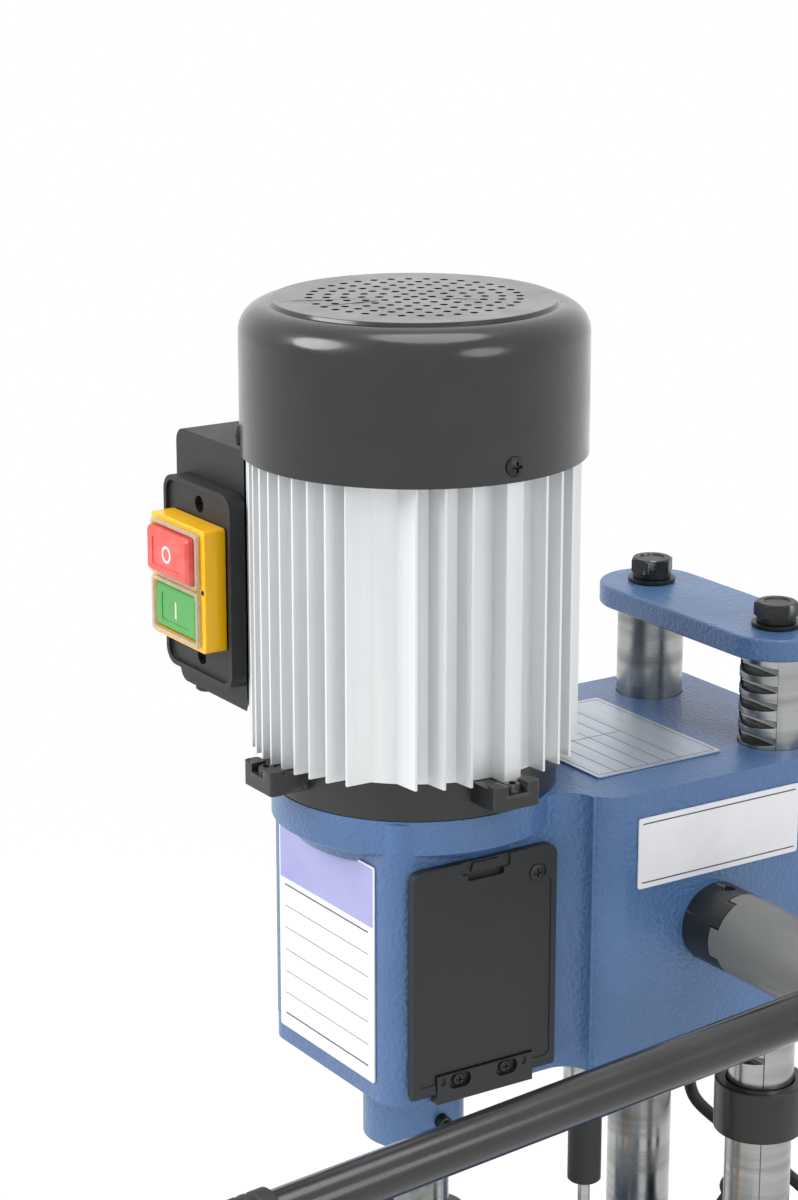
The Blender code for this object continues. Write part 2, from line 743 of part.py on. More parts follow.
def depth_stop():
    """Collar clamped on the rack column, and its socket screw."""
    stop = pivot("depth_stop", (COLUMN_X, COLUMN_Y, COLLAR_TOP))
    low = COLLAR_TOP - COLLAR_HEIGHT
    shape = tube(COLLAR_RADIUS, COLUMN_RADIUS + GAP, low, COLLAR_TOP)
    collar = solid("depth_collar", moved(shape, (COLUMN_X, COLUMN_Y, 0)), "black_oxide", stop)
    middle = (COLUMN_X, COLUMN_Y, COLLAR_TOP - COLLAR_HEIGHT / 2)
    start = (COLUMN_RADIUS + COLLAR_RADIUS) / 2
    screw = cylinder(COLLAR_SCREW_RADIUS, start, COLLAR_RADIUS + COLLAR_SCREW_PROUD, SCREW_SIDES)
    join(collar, moved(screw, middle, ALONG_X_BACK))


def motor_flange(head):
    """Cast ring with the lower bearing seat and four notched lugs."""
    low = FLANGE_LOW
    high = HEAD_TOP + MOTOR_RING_HEIGHT
    plate = low + MOTOR_RING_PLATE
    seat = BEARING_OUTER + GAP
    wall = MOTOR_RING_RADIUS - FIN_TIP_HALF * 10
    profile = ((MOTOR_SHAFT_RADIUS + 4 * GAP, low), (MOTOR_RING_RADIUS, low), (MOTOR_RING_RADIUS, high), (wall, high), (wall, plate), (SHIELD_HUB_RADIUS, plate), (SHIELD_HUB_RADIUS, high - GAP), (seat, high - GAP), (seat, low + BEARING_LIP), (MOTOR_SHAFT_RADIUS + 4 * GAP, low + BEARING_LIP))
    ring = solid("motor_flange", turned(profile, FINE_SIDES), "black_paint", head)
    lug_high = HEAD_TOP + LUG_TOP_UP
    lug_low = lug_high - LUG_HEIGHT
    half = (-LUG_HALF_WIDTH, LUG_HALF_WIDTH)
    join(ring, around(4, lambda: block((wall + GAP, LUG_REACH), half, (lug_low, high - GAP))))
    outer = (RIB_TIP_RADIUS + GAP, LUG_REACH - GAP)
    inside = (GAP - LUG_HALF_WIDTH, LUG_HALF_WIDTH - GAP)
    join(ring, around(4, lambda: block(outer, inside, (lug_low + GAP, lug_high))))
    reach = (LUG_NOTCH_START, LUG_REACH + OVERRUN)
    notch_half = (-LUG_NOTCH_HALF, LUG_NOTCH_HALF)
    floor = lug_high - LUG_NOTCH_DEPTH
    cut(ring, around(4, lambda: block(reach, notch_half, (floor, lug_high + OVERRUN))))
    hole = LUG_BOLT_RADIUS + GAP
    place = (LUG_REACH - LUG_SEAT, 0, 0)
    cut(ring, around(4, lambda: moved(cylinder(hole, lug_low - OVERRUN, floor + OVERRUN, SCREW_SIDES), place)))
    return ring


def fin_outline():
    """Outline of the motor body: each side's fins stand square to it, with a thick rib on two sides."""
    points = []
    for quarter in range(4):
        fins, ribs = ((SIDE_FINS, SIDE_RIB), (FACE_FINS, FACE_RIB))[quarter % 2]
        steps = [(t, FIN_TIP_HALF, FIN_ROOT_HALF, FIN_TIP_RADIUS) for t in fins]
        steps += [(t, RIB_HALF, RIB_HALF, RIB_TIP_RADIUS) for t in ribs]
        angle = quarter * math.pi / 2 + FIN_TWIST
        for t, tip_half, root_half, tip_radius in sorted(steps):
            tip = math.sqrt(tip_radius**2 - t**2)
            for offset, out in ((-root_half, 0), (-tip_half, tip), (tip_half, tip), (root_half, 0)):
                y = t + offset
                x = out or math.sqrt(BODY_CORE_RADIUS**2 - y**2)
                points.append(rotated(x, y, angle))
    return points


def motor_body(head):
    """Finned aluminium housing with its bore."""
    low = HEAD_TOP + MOTOR_RING_HEIGHT + GAP
    high = HEAD_TOP + BODY_TOP_UP
    obj = solid("motor_body", extruded(fin_outline(), low, high), "aluminium", head)
    cut(obj, cylinder(BODY_BORE_RADIUS, low - OVERRUN, high + OVERRUN, FINE_SIDES))


def motor_inside(head, spindle):
    """Stator and bearings in the head, and the rotor on its shaft."""
    low = HEAD_TOP + STATOR_BOTTOM_UP
    high = HEAD_TOP + STATOR_TOP_UP
    solid("stator_core", tube(BODY_BORE_RADIUS - GAP, ROTOR_RADIUS + AIR_GAP, low, high, FINE_SIDES), "lamination", head)
    solid("rotor", tube(ROTOR_RADIUS, MOTOR_SHAFT_RADIUS + GAP, low, high), "lamination", spindle)
    bottom = FLANGE_LOW + BEARING_LIP + GAP
    top = shield_bottom() + BEARING_LIP + GAP
    for word, low in (("lower", bottom), ("upper", top)):
        ring = tube(BEARING_OUTER, BEARING_INNER, low, low + BEARING_WIDTH, SMALL_SIDES)
        solid(word + "_bearing", ring, "bright_steel", head)
    shaft_low = HEAD_TOP - CHUCK_TOP_DOWN - CHUCK_SOCKET_DEPTH + GAP
    shaft = cylinder(MOTOR_SHAFT_RADIUS, shaft_low, HEAD_TOP + MOTOR_SHAFT_TOP_UP)
    solid("motor_shaft", shaft, "bright_steel", spindle)


def shield_bottom():
    """Underside of the upper end shield."""
    return HEAD_TOP + BODY_TOP_UP + GAP


def end_shield(head):
    """Upper end shield, which holds the upper bearing and takes the cowl's screws."""
    low = shield_bottom()
    high = low + SHIELD_HEIGHT
    seat = BEARING_OUTER + GAP
    bore = MOTOR_SHAFT_RADIUS + 4 * GAP
    hub = high + SHIELD_HUB_HEIGHT
    profile = ((bore, low), (SHIELD_RADIUS, low), (SHIELD_RADIUS, high), (SHIELD_HUB_RADIUS, high), (SHIELD_HUB_RADIUS, hub), (seat, hub), (seat, low + BEARING_LIP), (bore, low + BEARING_LIP))
    obj = solid("end_shield", turned(profile, FINE_SIDES), "aluminium", head)
    for k in range(COWL_SCREWS):
        start = COWL_RADIUS - COWL_SCREW_LENGTH - OVERRUN
        hole = cylinder(COWL_SCREW_RADIUS + GAP, start, COWL_RADIUS, SCREW_SIDES)
        cut(obj, hole, (0, 0, HEAD_TOP + COWL_SCREW_UP), (0, math.pi / 2, math.tau * k / COWL_SCREWS))


def cooling_fan(spindle):
    """Radial fan with straight blades."""
    outline = []
    for blade in range(FAN_BLADES):
        angle = math.tau * blade / FAN_BLADES
        root = math.sqrt(FAN_HUB_RADIUS**2 - FAN_BLADE_HALF**2)
        for x, y in ((root, -FAN_BLADE_HALF), (FAN_RADIUS, -FAN_BLADE_HALF), (FAN_RADIUS, FAN_BLADE_HALF), (root, FAN_BLADE_HALF)):
            outline.append((x * math.cos(angle) - y * math.sin(angle), x * math.sin(angle) + y * math.cos(angle)))
    low = HEAD_TOP + FAN_BOTTOM_UP
    obj = solid("cooling_fan", extruded(outline, low, low + FAN_HEIGHT), "black_plastic", spindle)
    cut(obj, cylinder(MOTOR_SHAFT_RADIUS + GAP, low - OVERRUN, low + FAN_HEIGHT + OVERRUN))


def fan_cowl(head):
    """Pressed cowl over the fan, with a round shoulder and a raised top disc."""
    low = HEAD_TOP + COWL_BOTTOM_UP
    high = HEAD_TOP + COWL_TOP_UP
    bend = high - COWL_STEP
    outer = arc((COWL_RADIUS - COWL_SHOULDER, bend - COWL_SHOULDER), COWL_SHOULDER, 0, 90, BEND_STEPS + 1)
    inside = COWL_SHOULDER - COWL_WALL
    inner = arc((COWL_RADIUS - COWL_SHOULDER, bend - COWL_SHOULDER), inside, 90, 0, BEND_STEPS + 1)
    disc = COWL_RADIUS - COWL_SHOULDER - COWL_STEP / 2
    profile = [(COWL_RADIUS, low)] + outer + [(disc, high), (0, high), (0, bend - COWL_WALL)] + inner
    profile.append((COWL_RADIUS - COWL_WALL, low))
    shape = cowl_shell(profile)
    obj = solid("fan_cowl", shape, "black_paint", head)
    for k in range(COWL_SCREWS):
        hole = cylinder(COWL_SCREW_RADIUS + GAP, COWL_RADIUS - OVERRUN, COWL_RADIUS + OVERRUN, SCREW_SIDES)
        cut(obj, hole, (0, 0, HEAD_TOP + COWL_SCREW_UP), (0, math.pi / 2, math.tau * k / COWL_SCREWS))


def cowl_shell(profile, sides=FINE_SIDES):
    """Turn a cup's profile: outside up to the pole, then the inside down, and close the rim."""
    split = [index for index, point in enumerate(profile) if point[0] == 0][0] + 1
    shape = bmesh.new()
    rings = []
    for radius, height in profile:
        if radius == 0:
            rings.append([shape.verts.new((0, 0, height))])
            continue
        turns = [math.tau * side / sides for side in range(sides)]
        rings.append([shape.verts.new((radius * math.cos(t), radius * math.sin(t), height)) for t in turns])
    pairs = list(zip(rings[:split], rings[1:split])) + list(zip(rings[split:], rings[split + 1:]))
    pairs.append((rings[-1], rings[0]))
    for first, second in pairs:
        for side in range(sides):
            after = (side + 1) % sides
            corners = [first[side % len(first)], first[after % len(first)]]
            corners += [second[after % len(second)], second[side % len(second)]]
            shape.faces.new(list(dict.fromkeys(corners)))
    return shape


def auger_bit(spindle):
    """Auger bit: a round shank in the chuck and a twisted flat inside the chisel."""
    high = HEAD_TOP - CHUCK_TOP_DOWN - CHUCK_LENGTH + BIT_GRIP
    twist_top = BOSS_BOTTOM
    low = CHISEL_TIP - BIT_PROUD
    shape = bmesh.new()
    rings = []
    for height in (high, twist_top + BIT_RADIUS):
        rings.append([shape.verts.new((BIT_RADIUS * math.cos(a), BIT_RADIUS * math.sin(a), height)) for a in [math.tau * k / 8 for k in range(8)]])
    steps = round(BIT_TWIST_STEPS * (twist_top - low) / BIT_TWIST_PITCH)
    edge = math.sqrt(BIT_RADIUS**2 - BIT_HALF_THICKNESS**2)
    flat = ((edge, 0), (edge, 1), (0, 1), (-edge, 1), (-edge, 0), (-edge, -1), (0, -1), (edge, -1))
    for step in range(steps + 1):
        height = twist_top + (low - twist_top) * step / steps
        turn = math.tau * (twist_top - height) / BIT_TWIST_PITCH
        ring = []
        for x, side in flat:
            y = side * BIT_HALF_THICKNESS
            ring.append(shape.verts.new((x * math.cos(turn) - y * math.sin(turn), x * math.sin(turn) + y * math.cos(turn), height)))
        rings.append(ring)
    for first, second in zip(rings, rings[1:]):
        for k in range(8):
            after = (k + 1) % 8
            shape.faces.new((first[k], first[after], second[after], second[k]))
    shape.faces.new(rings[0])
    shape.faces.new(rings[-1][::-1])
    solid("auger_bit", shape, "bright_steel", spindle)


def facing_front(outline, back, front):
    """Extrude an (x, z) outline between two y planes."""
    shape = extruded([(x, -z) for x, z in outline], back, front)
    return moved(shape, (0, 0, 0), ALONG_Y)


def switch_faceplate(head):
    """Moulded faceplate with a raised rim and two screw holes."""
    x_range = (SWITCH_X - FACE_HALF_WIDTH, SWITCH_X + FACE_HALF_WIDTH)
    z_range = (HEAD_TOP + FACE_BOTTOM_UP, HEAD_TOP + FACE_TOP_UP)
    shape = facing_front(rounded(x_range, z_range, FACE_CORNER), FACE_FRONT, BOX_FRONT - GAP)
    obj = solid("switch_faceplate", shape, "black_plastic", head)
    cut(obj, motor_clearance())
    floor_x = (x_range[0] + FACE_RIM, x_range[1] - FACE_RIM)
    floor_z = (z_range[0] + FACE_RIM, z_range[1] - FACE_RIM)
    cut(obj, facing_front(rounded(floor_x, floor_z, FACE_CORNER - FACE_RIM), FACE_FRONT - OVERRUN, FACE_FLOOR))
    for z in (z_range[0] + FACE_SCREW_INSET, z_range[1] - FACE_SCREW_INSET):
        hole = cylinder(FACE_SCREW_RADIUS, FACE_FRONT - OVERRUN, BOX_FRONT + OVERRUN, SCREW_SIDES)
        cut(obj, hole, (SWITCH_X, 0, z), ALONG_Y)
    for z in (STOP_Z, START_Z):
        hole = cylinder(BUTTON_STEM_RADIUS + 2 * GAP, FACE_FRONT - OVERRUN, BOX_FRONT + OVERRUN, SCREW_SIDES)
        cut(obj, hole, (SWITCH_X, 0, z), ALONG_Y)


def switch_cover(head):
    """Yellow cover with two openings for the button frames."""
    x_range = (SWITCH_X - COVER_BOX_HALF_WIDTH, SWITCH_X + COVER_BOX_HALF_WIDTH)
    z_range = (HEAD_TOP + COVER_BOX_BOTTOM_UP, HEAD_TOP + COVER_BOX_TOP_UP)
    outline = rounded(x_range, z_range, COVER_BOX_CORNER, 2)
    obj = solid("switch_cover", facing_front(outline, COVER_FRONT, FACE_FLOOR - GAP), "yellow_plastic", head)
    half = FRAME_HALF_WIDTH - FRAME_RIM + GAP
    tall = FRAME_HALF_HEIGHT - FRAME_RIM + GAP
    for z in (STOP_Z, START_Z):
        y_range = (COVER_FRONT - OVERRUN, FACE_FLOOR + OVERRUN)
        cut(obj, block((SWITCH_X - half, SWITCH_X + half), y_range, (z - tall, z + tall)))


def button_frames(head):
    """Clear frames around the two buttons, standing on the cover's face."""
    x_range = (SWITCH_X - FRAME_HALF_WIDTH, SWITCH_X + FRAME_HALF_WIDTH)
    z_range = (START_Z - FRAME_HALF_HEIGHT, STOP_Z + FRAME_HALF_HEIGHT)
    outer = block(x_range, (COVER_FRONT - FRAME_PROUD - GAP, COVER_FRONT - GAP), z_range)
    obj = solid("button_frames", outer, "clear_plastic", head)
    half = FRAME_HALF_WIDTH - FRAME_RIM
    tall = FRAME_HALF_HEIGHT - FRAME_RIM
    for z in (STOP_Z, START_Z):
        y_range = (COVER_FRONT - FRAME_PROUD - OVERRUN, COVER_FRONT + OVERRUN)
        cut(obj, block((SWITCH_X - half, SWITCH_X + half), y_range, (z - tall, z + tall)))


def push_button(name, z, proud, finish, head):
    """Button cap with a tapered front, and the stem that reaches the switch block."""
    press = pivot(name + "_slide", (SWITCH_X, COVER_FRONT, z), head)
    half = FRAME_HALF_WIDTH - FRAME_RIM - BUTTON_CLEARANCE
    tall = FRAME_HALF_HEIGHT - FRAME_RIM - BUTTON_CLEARANCE
    front = COVER_FRONT - FRAME_PROUD - proud
    back = FACE_FLOOR - GAP - BUTTON_TRAVEL - GAP
    edge = front + BUTTON_TAPER
    shape = bmesh.new()
    rings = []
    for y, inset in ((back, 0), (edge, 0), (front, BUTTON_TAPER)):
        x = half - inset
        h = tall - inset
        signs = ((-1, -1), (1, -1), (1, 1), (-1, 1))
        rings.append([shape.verts.new((SWITCH_X + sx * x, y, z + sz * h)) for sx, sz in signs])
    for first, second in zip(rings, rings[1:]):
        for k in range(4):
            after = (k + 1) % 4
            shape.faces.new((first[k], first[after], second[after], second[k]))
    shape.faces.new(rings[0][::-1])
    shape.faces.new(rings[-1])
    obj = solid(name, shape, finish, press)
    stem = cylinder(BUTTON_STEM_RADIUS, back - OVERRUN, block_front() - GAP - BUTTON_TRAVEL, SCREW_SIDES)
    join(obj, stem, (SWITCH_X, 0, z), ALONG_Y)


def block_front():
    """Front of the contact block inside the switch box."""
    return BOX_FRONT + BOX_WALL + BUTTON_TRAVEL + 2 * GAP


def motor_clearance():
    """Cylinder that keeps the switch box and its faceplate clear of the motor's ribs."""
    high = HEAD_TOP + BOX_TOP_UP + OVERRUN
    return cylinder(RIB_TIP_RADIUS + 2 * GAP, HEAD_TOP, high, CLEARANCE_SIDES)


def switch_block(head):
    """Contact block fixed behind the buttons, against the box's left wall."""
    y_range = (block_front(), block_front() + BLOCK_DEPTH)
    x_range = (SWITCH_X - BOX_HALF_WIDTH + BOX_WALL + GAP, SWITCH_X + BLOCK_RIGHT_OF_STEM)
    z_range = (BUTTON_MIDDLE - BLOCK_HALF_HEIGHT, BUTTON_MIDDLE + BLOCK_HALF_HEIGHT)
    solid("switch_block", block(x_range, y_range, z_range), "black_plastic", head)


def base_casting():
    """Cast base: hollow box with a rib cross, bolt pillars and two column sockets."""
    side = BASE_HALF_WIDTH
    body = extruded(rounded((-side, side), (BASE_FRONT, BASE_BACK), BASE_CORNER), 0, BASE_HEIGHT)
    base = solid("base_casting", body, "blue_paint")
    inner = side - BASE_WALL
    half = RIB_WIDTH / 2
    y_cells = ((BASE_FRONT + BASE_WALL, -half), (half, BASE_BACK - BASE_WALL))
    x_cells = ((-inner, -half), (half, inner))
    roof = BASE_HEIGHT - BASE_ROOF
    cut(base, merged([block(x, y, (-OVERRUN, roof)) for x in x_cells for y in y_cells]))
    top = roof + BASE_ROOF / 2
    pillars = [moved(cylinder(BOLT_PILLAR_RADIUS, 0, top, SMALL_SIDES), place) for place in bench_holes()]
    join(base, merged(pillars))
    socket = COLUMN_RADIUS + SOCKET_WALL
    join(base, merged([moved(cylinder(socket, 0, SOCKET_TOP), place) for place in column_places()]))
    reach = BASE_HEIGHT + OVERRUN
    holes = [moved(cylinder(BENCH_HOLE_RADIUS, -OVERRUN, reach, SCREW_SIDES), place) for place in bench_holes()]
    rod = cylinder(ROD_RADIUS + GAP, BASE_HEIGHT - ROD_SEAT, reach, SCREW_SIDES)
    holes.append(moved(rod, (SPRING_X, SPRING_Y, 0)))
    for place in board_screw_places():
        hole = cylinder(BOARD_SCREW_RADIUS + GAP, BASE_HEIGHT - BASE_ROOF - OVERRUN, reach, SCREW_SIDES)
        holes.append(moved(hole, place))
    cut(base, merged(holes))
    bracket = ((-BRACKET_HALF_WIDTH, BRACKET_HALF_WIDTH), (BRACKET_FRONT, BRACKET_BACK))
    spots = []
    for x, y in bracket_screw_places(bracket):
        low = BASE_HEIGHT - BASE_ROOF - OVERRUN
        spots.append(moved(cylinder(BOARD_SCREW_RADIUS + GAP, low, reach, SCREW_SIDES), (x, y, 0)))
    cut(base, merged(spots))
    bore = (COLUMN_RADIUS + GAP, SOCKET_FLOOR, SOCKET_TOP + OVERRUN)
    for place in column_places():
        cut(base, moved(cylinder(*bore), place))


def bracket_screw_places(bracket):
    """The two screws below the fence bracket."""
    (x0, x1), (y0, y1) = bracket
    middle = (y0 + y1) / 2
    inset = BRACKET_SCREW_INSET
    return ((x0 + inset, middle), (x1 - inset, middle))


def bench_holes():
    """Centres of the four holes that bolt the base to a bench."""
    x = BASE_HALF_WIDTH - BENCH_HOLE_INSET
    y_places = (BASE_FRONT + BENCH_HOLE_INSET, BASE_BACK - BENCH_HOLE_INSET)
    return [(side * x, y, 0) for side in (-1, 1) for y in y_places]


def board_screw_places():
    """Centres of the four screws that hold the table board."""
    x = BOARD_HALF_WIDTH - BOARD_SCREW_INSET
    y_places = (BOARD_FRONT + BOARD_SCREW_INSET, BOARD_BACK - BOARD_SCREW_INSET)
    return [(side * x, y, 0) for side in (-1, 1) for y in y_places]


def table_board():
    """Wooden board on the base, which the chisel may enter, with countersunk holes."""
    outline = rounded((-BOARD_HALF_WIDTH, BOARD_HALF_WIDTH), (BOARD_FRONT, BOARD_BACK), BOARD_CORNER)
    board = solid("table_board", extruded(outline, BASE_HEIGHT + GAP, TABLE_TOP), "board")
    radius = BOARD_SCREW_RADIUS
    head = BOARD_SCREW_HEAD_RADIUS
    top = TABLE_TOP - GAP
    low = BASE_HEIGHT - BASE_ROOF
    depth = head - radius
    seat = top - depth - GAP
    bore = ((0, low), (radius + GAP, low), (radius + GAP, seat), (head + GAP, top), (head + GAP, top + OVERRUN))
    holes = [moved(turned((*bore, (0, top + OVERRUN)), SCREW_SIDES), place) for place in board_screw_places()]
    cut(board, merged(holes))


def rack_column():
    """Column with straight rack slots across its front."""
    obj = column("rack_column", COLUMN_X)
    face = COLUMN_Y - COLUMN_RADIUS
    slope = (RACK_MOUTH_HALF - RACK_FLOOR_HALF) / RACK_DEPTH
    mouth = RACK_MOUTH_HALF + slope * OVERRUN
    low = face - OVERRUN
    floor = face + RACK_DEPTH
    reach = COLUMN_RADIUS + OVERRUN
    slots = []
    for height in rack_slot_heights():
        outline = ((low, -mouth), (floor, -RACK_FLOOR_HALF), (floor, RACK_FLOOR_HALF), (low, mouth))
        slots.append(moved(facing_side(outline, -reach, reach), (COLUMN_X, 0, height)))
    cut(obj, merged(slots))


def facing_side(outline, start, end):
    """Extrude a (y, z) outline between two x planes."""
    return moved(extruded([(-z, y) for y, z in outline], start, end), (0, 0, 0), ALONG_X)


def front_outline():
    """Outline of the front box, with fillets where it meets the rear block."""
    side = FRONT_HALF_WIDTH
    corner = FRONT_CORNER
    near = REAR_FRONT - STEP_FILLET
    far = side + STEP_FILLET
    back = REAR_FRONT + FRONT_CORNER
    points = arc((side - corner, FRONT_FACE + corner), corner, -90, 0, BEND_STEPS)
    points += arc((far, near), STEP_FILLET, 180, 90, BEND_STEPS)
    points += [(far, back), (-far, back)]
    points += arc((-far, near), STEP_FILLET, 90, 0, BEND_STEPS)
    points += arc((corner - side, FRONT_FACE + corner), corner, 180, 270, BEND_STEPS)
    return points


def head_casting(head):
    """Head casting: front box, motor pad, rear block and spindle boss, bored and cored."""
    rear = rounded((-REAR_HALF_WIDTH, REAR_HALF_WIDTH), (REAR_FRONT, REAR_BACK), REAR_CORNER)
    obj = solid("head_casting", extruded(rear, HEAD_BOTTOM, HEAD_TOP), "blue_paint", head)
    join(obj, extruded(front_outline(), HEAD_BOTTOM - GAP, HEAD_TOP - GAP))
    pad_low = HEAD_TOP - PAD_DEPTH
    neck = pad_low - PAD_TAPER
    top = HEAD_TOP + PAD_PROUD
    pad = ((0, neck), (NECK_RADIUS, neck), (PAD_RADIUS, pad_low), (PAD_RADIUS, top), (0, top))
    join(obj, turned(pad, FINE_SIDES))
    join(obj, cylinder(BOSS_RADIUS, BOSS_BOTTOM, HEAD_BOTTOM + CHAMBER_FLOOR / 2))
    cut_chuck_chamber(obj)
    cut_rear_cells(obj)
    cut_guides_and_shaft(obj)
    return obj


def cut_chuck_chamber(obj):
    """Hollow the front box, open its side windows, and bore for shaft, chisel and screws."""
    inner = FRONT_HALF_WIDTH - CHAMBER_WALL
    y_range = (FRONT_FACE + CHAMBER_WALL, CHAMBER_BACK)
    low = HEAD_BOTTOM + CHAMBER_FLOOR
    roof = HEAD_TOP - CHAMBER_TOP_DOWN
    cut(obj, block((-inner, inner), y_range, (low, roof)))
    reach = PAD_RADIUS + OVERRUN
    high = HEAD_TOP - WINDOW_TOP_DOWN
    y_window = (-WINDOW_HALF_WIDTH, WINDOW_HALF_WIDTH)
    cut(obj, block((-reach, reach), y_window, (high - WINDOW_HEIGHT, high)))
    register = cylinder(SHAFT_HOLE_RADIUS, roof - OVERRUN, HEAD_TOP + OVERRUN)
    seat = cylinder(CHISEL_SHANK_RADIUS + GAP, BOSS_BOTTOM - OVERRUN, low + OVERRUN)
    cut(obj, merged([register, seat]))
    hole = cylinder(CHISEL_SCREW_RADIUS + GAP, CHISEL_SHANK_RADIUS, BOSS_RADIUS + OVERRUN, SCREW_SIDES)
    cut(obj, moved(hole, (0, 0, HEAD_TOP - CHISEL_SCREW_DOWN), ALONG_X))


def cut_rear_cells(obj):
    """Core the rear block from below: pinion cell, its twin and one between the columns."""
    low = HEAD_BOTTOM - OVERRUN
    roof = HEAD_TOP - CELL_TOP_DOWN
    near = COLUMN_X + CELL_OFFSET - CELL_WIDTH / 2
    far = COLUMN_X + CELL_OFFSET + CELL_WIDTH / 2
    cells = [block(x, (CELL_FRONT, CELL_BACK), (low, roof)) for x in ((near, far), (-far, -near))]
    rear = (REAR_CELL_FRONT, REAR_BACK - CHAMBER_WALL)
    half = REAR_CELL_HALF_WIDTH
    cells.append(block((-half, half), rear, (low, HEAD_TOP - REAR_CELL_TOP_DOWN)))
    cut(obj, merged(cells))
    pocket = ((near + GAP, far - GAP), (CELL_BACK - OVERRUN, POCKET_BACK), (HEAD_TOP - POCKET_BOTTOM_DOWN, roof - GAP))
    cut(obj, block(*pocket))


def cut_guides_and_shaft(obj):
    """Bore the head for its columns and bushes, the feed shaft, the spring tube and the gland."""
    low = HEAD_BOTTOM - OVERRUN
    guide = (COLUMN_RADIUS + GAP, low, HEAD_TOP + OVERRUN)
    cut(obj, merged([moved(cylinder(*guide), place) for place in column_places()]))
    reach = REAR_HALF_WIDTH + OVERRUN
    cut(obj, moved(cylinder(FEED_SHAFT_RADIUS + GAP, -reach, reach), (0, HUB_Y, HUB_Z), ALONG_X))
    top = HEAD_TOP - SPRING_TUBE_TOP_DOWN + GAP
    tube_bore = moved(cylinder(SPRING_TUBE_RADIUS + GAP, low, top), (SPRING_X, SPRING_Y, 0))
    gland = cylinder(GLAND_SHANK_RADIUS + GAP, low, HEAD_BOTTOM + GLAND_SHANK, SCREW_SIDES)
    cut(obj, merged([tube_bore, moved(gland, (GLAND_X, GLAND_Y, 0))]))


def drill_chuck(spindle):
    """Keyed drill chuck on the motor shaft: body, geared ring and three jaws."""
    top = HEAD_TOP - CHUCK_TOP_DOWN
    low = top - CHUCK_LENGTH
    socket = MOTOR_SHAFT_RADIUS + GAP
    floor = top - CHUCK_SOCKET_DEPTH
    mouth = JAW_RADIUS + 2 * GAP
    jaw_top = HEAD_TOP - JAW_TOP_DOWN
    ring_top = HEAD_TOP - CHUCK_RING_DOWN
    ring_low = ring_top - CHUCK_RING_HEIGHT
    bore = BIT_RADIUS + GAP
    nose = mouth + CHUCK_NOSE_WALL
    profile = [(mouth, low), (nose, low), (CHUCK_RADIUS, low + CHUCK_NOSE_LENGTH), (CHUCK_RADIUS, ring_low)]
    profile += [(CHUCK_RING_RADIUS, ring_low), (CHUCK_RING_RADIUS, ring_top), (CHUCK_RADIUS, ring_top), (CHUCK_RADIUS, top)]
    profile += [(socket, top), (socket, floor), (bore, floor), (bore, jaw_top + GAP), (mouth, jaw_top + GAP)]
    solid("chuck_body", turned(profile, SMALL_SIDES), "tool_steel", spindle)
    bottom = HEAD_TOP - JAW_BOTTOM_DOWN
    shape = tube(JAW_RADIUS, BIT_RADIUS + GAP, bottom, jaw_top, SMALL_SIDES)
    jaws = solid("chuck_jaws", shape, "tool_steel", spindle)
    half = (-JAW_GAP / 2, JAW_GAP / 2)
    z_range = (bottom - OVERRUN, jaw_top - JAW_RING_HEIGHT)
    cut(jaws, around(3, lambda: block((JAW_GAP, JAW_RADIUS + OVERRUN), half, z_range)))


def chisel_set(head):
    """Hollow chisel in the boss, and the screw that clamps it."""
    low = BOSS_BOTTOM - GAP
    high = low + CHISEL_SHANK_LENGTH
    chisel = solid("hollow_chisel", cylinder(CHISEL_SHANK_RADIUS, low, high), "tool_steel", head)
    half = (-CHISEL_HALF, CHISEL_HALF)
    join(chisel, block(half, half, (CHISEL_TIP, low + GAP)))
    cut(chisel, cylinder(CHISEL_BORE, CHISEL_TIP - OVERRUN, high + OVERRUN, SMALL_SIDES))
    wide = CHISEL_HALF + OVERRUN
    tip = CHISEL_TIP - OVERRUN
    cone = ((0, CHISEL_TIP + CHISEL_HALF), (wide, tip), (0, tip))
    cut(chisel, turned(cone, SMALL_SIDES))
    slot_low = CHISEL_TIP + CHISEL_SLOT_FROM_TIP
    slot_half = (-CHISEL_SLOT_HALF, CHISEL_SLOT_HALF)
    cut(chisel, block(slot_half, (-CHISEL_HALF - OVERRUN, 0), (slot_low, slot_low + CHISEL_SLOT_LENGTH)))
    inner = CHISEL_SHANK_RADIUS + GAP
    screw = cylinder(CHISEL_SCREW_RADIUS, inner, BOSS_RADIUS + CHISEL_SCREW_PROUD, SCREW_SIDES)
    place = (0, 0, HEAD_TOP - CHISEL_SCREW_DOWN)
    solid("chisel_screw", moved(screw, place, ALONG_X), "black_oxide", head)


def chuck_cover(name, side, head):
    """Hinged cover over a window of the chamber; side is 1 on the right, -1 on the left."""
    hinge = pivot(name + "_hinge", (side * HINGE_X, 0, HINGE_Z), head)
    high = HEAD_TOP - COVER_TOP_DOWN
    wide = COVER_HALF_WIDTH
    corner = COVER_CORNER
    outline = [(-wide, HINGE_Z), (wide, HINGE_Z)]
    outline += arc((wide - corner, high - corner), corner, 0, 90, BEND_STEPS)
    outline += arc((corner - wide, high - corner), corner, 90, 180, BEND_STEPS)
    x_range = sorted((side * COVER_INNER, side * (COVER_INNER + COVER_THICKNESS)))
    obj = solid(name, facing_side(outline, *x_range), "black_plastic", hinge)
    clear = STRIP_HALF_WIDTH + GAP
    knuckles = [cylinder(KNUCKLE_RADIUS, clear, wide - GAP, SCREW_SIDES) for _ in range(2)]
    place = (side * HINGE_X, 0, HINGE_Z)
    join(obj, merged([moved(knuckles[0], place, ALONG_Y), moved(knuckles[1], place, ALONG_MINUS_Y)]))
    cutter = (x_range[0] - OVERRUN, x_range[1] + OVERRUN)
    pocket = (HINGE_Z - OVERRUN, HEAD_TOP - STRIP_TOP_DOWN + 2 * GAP)
    cut(obj, block(cutter, (-clear, clear), pocket))


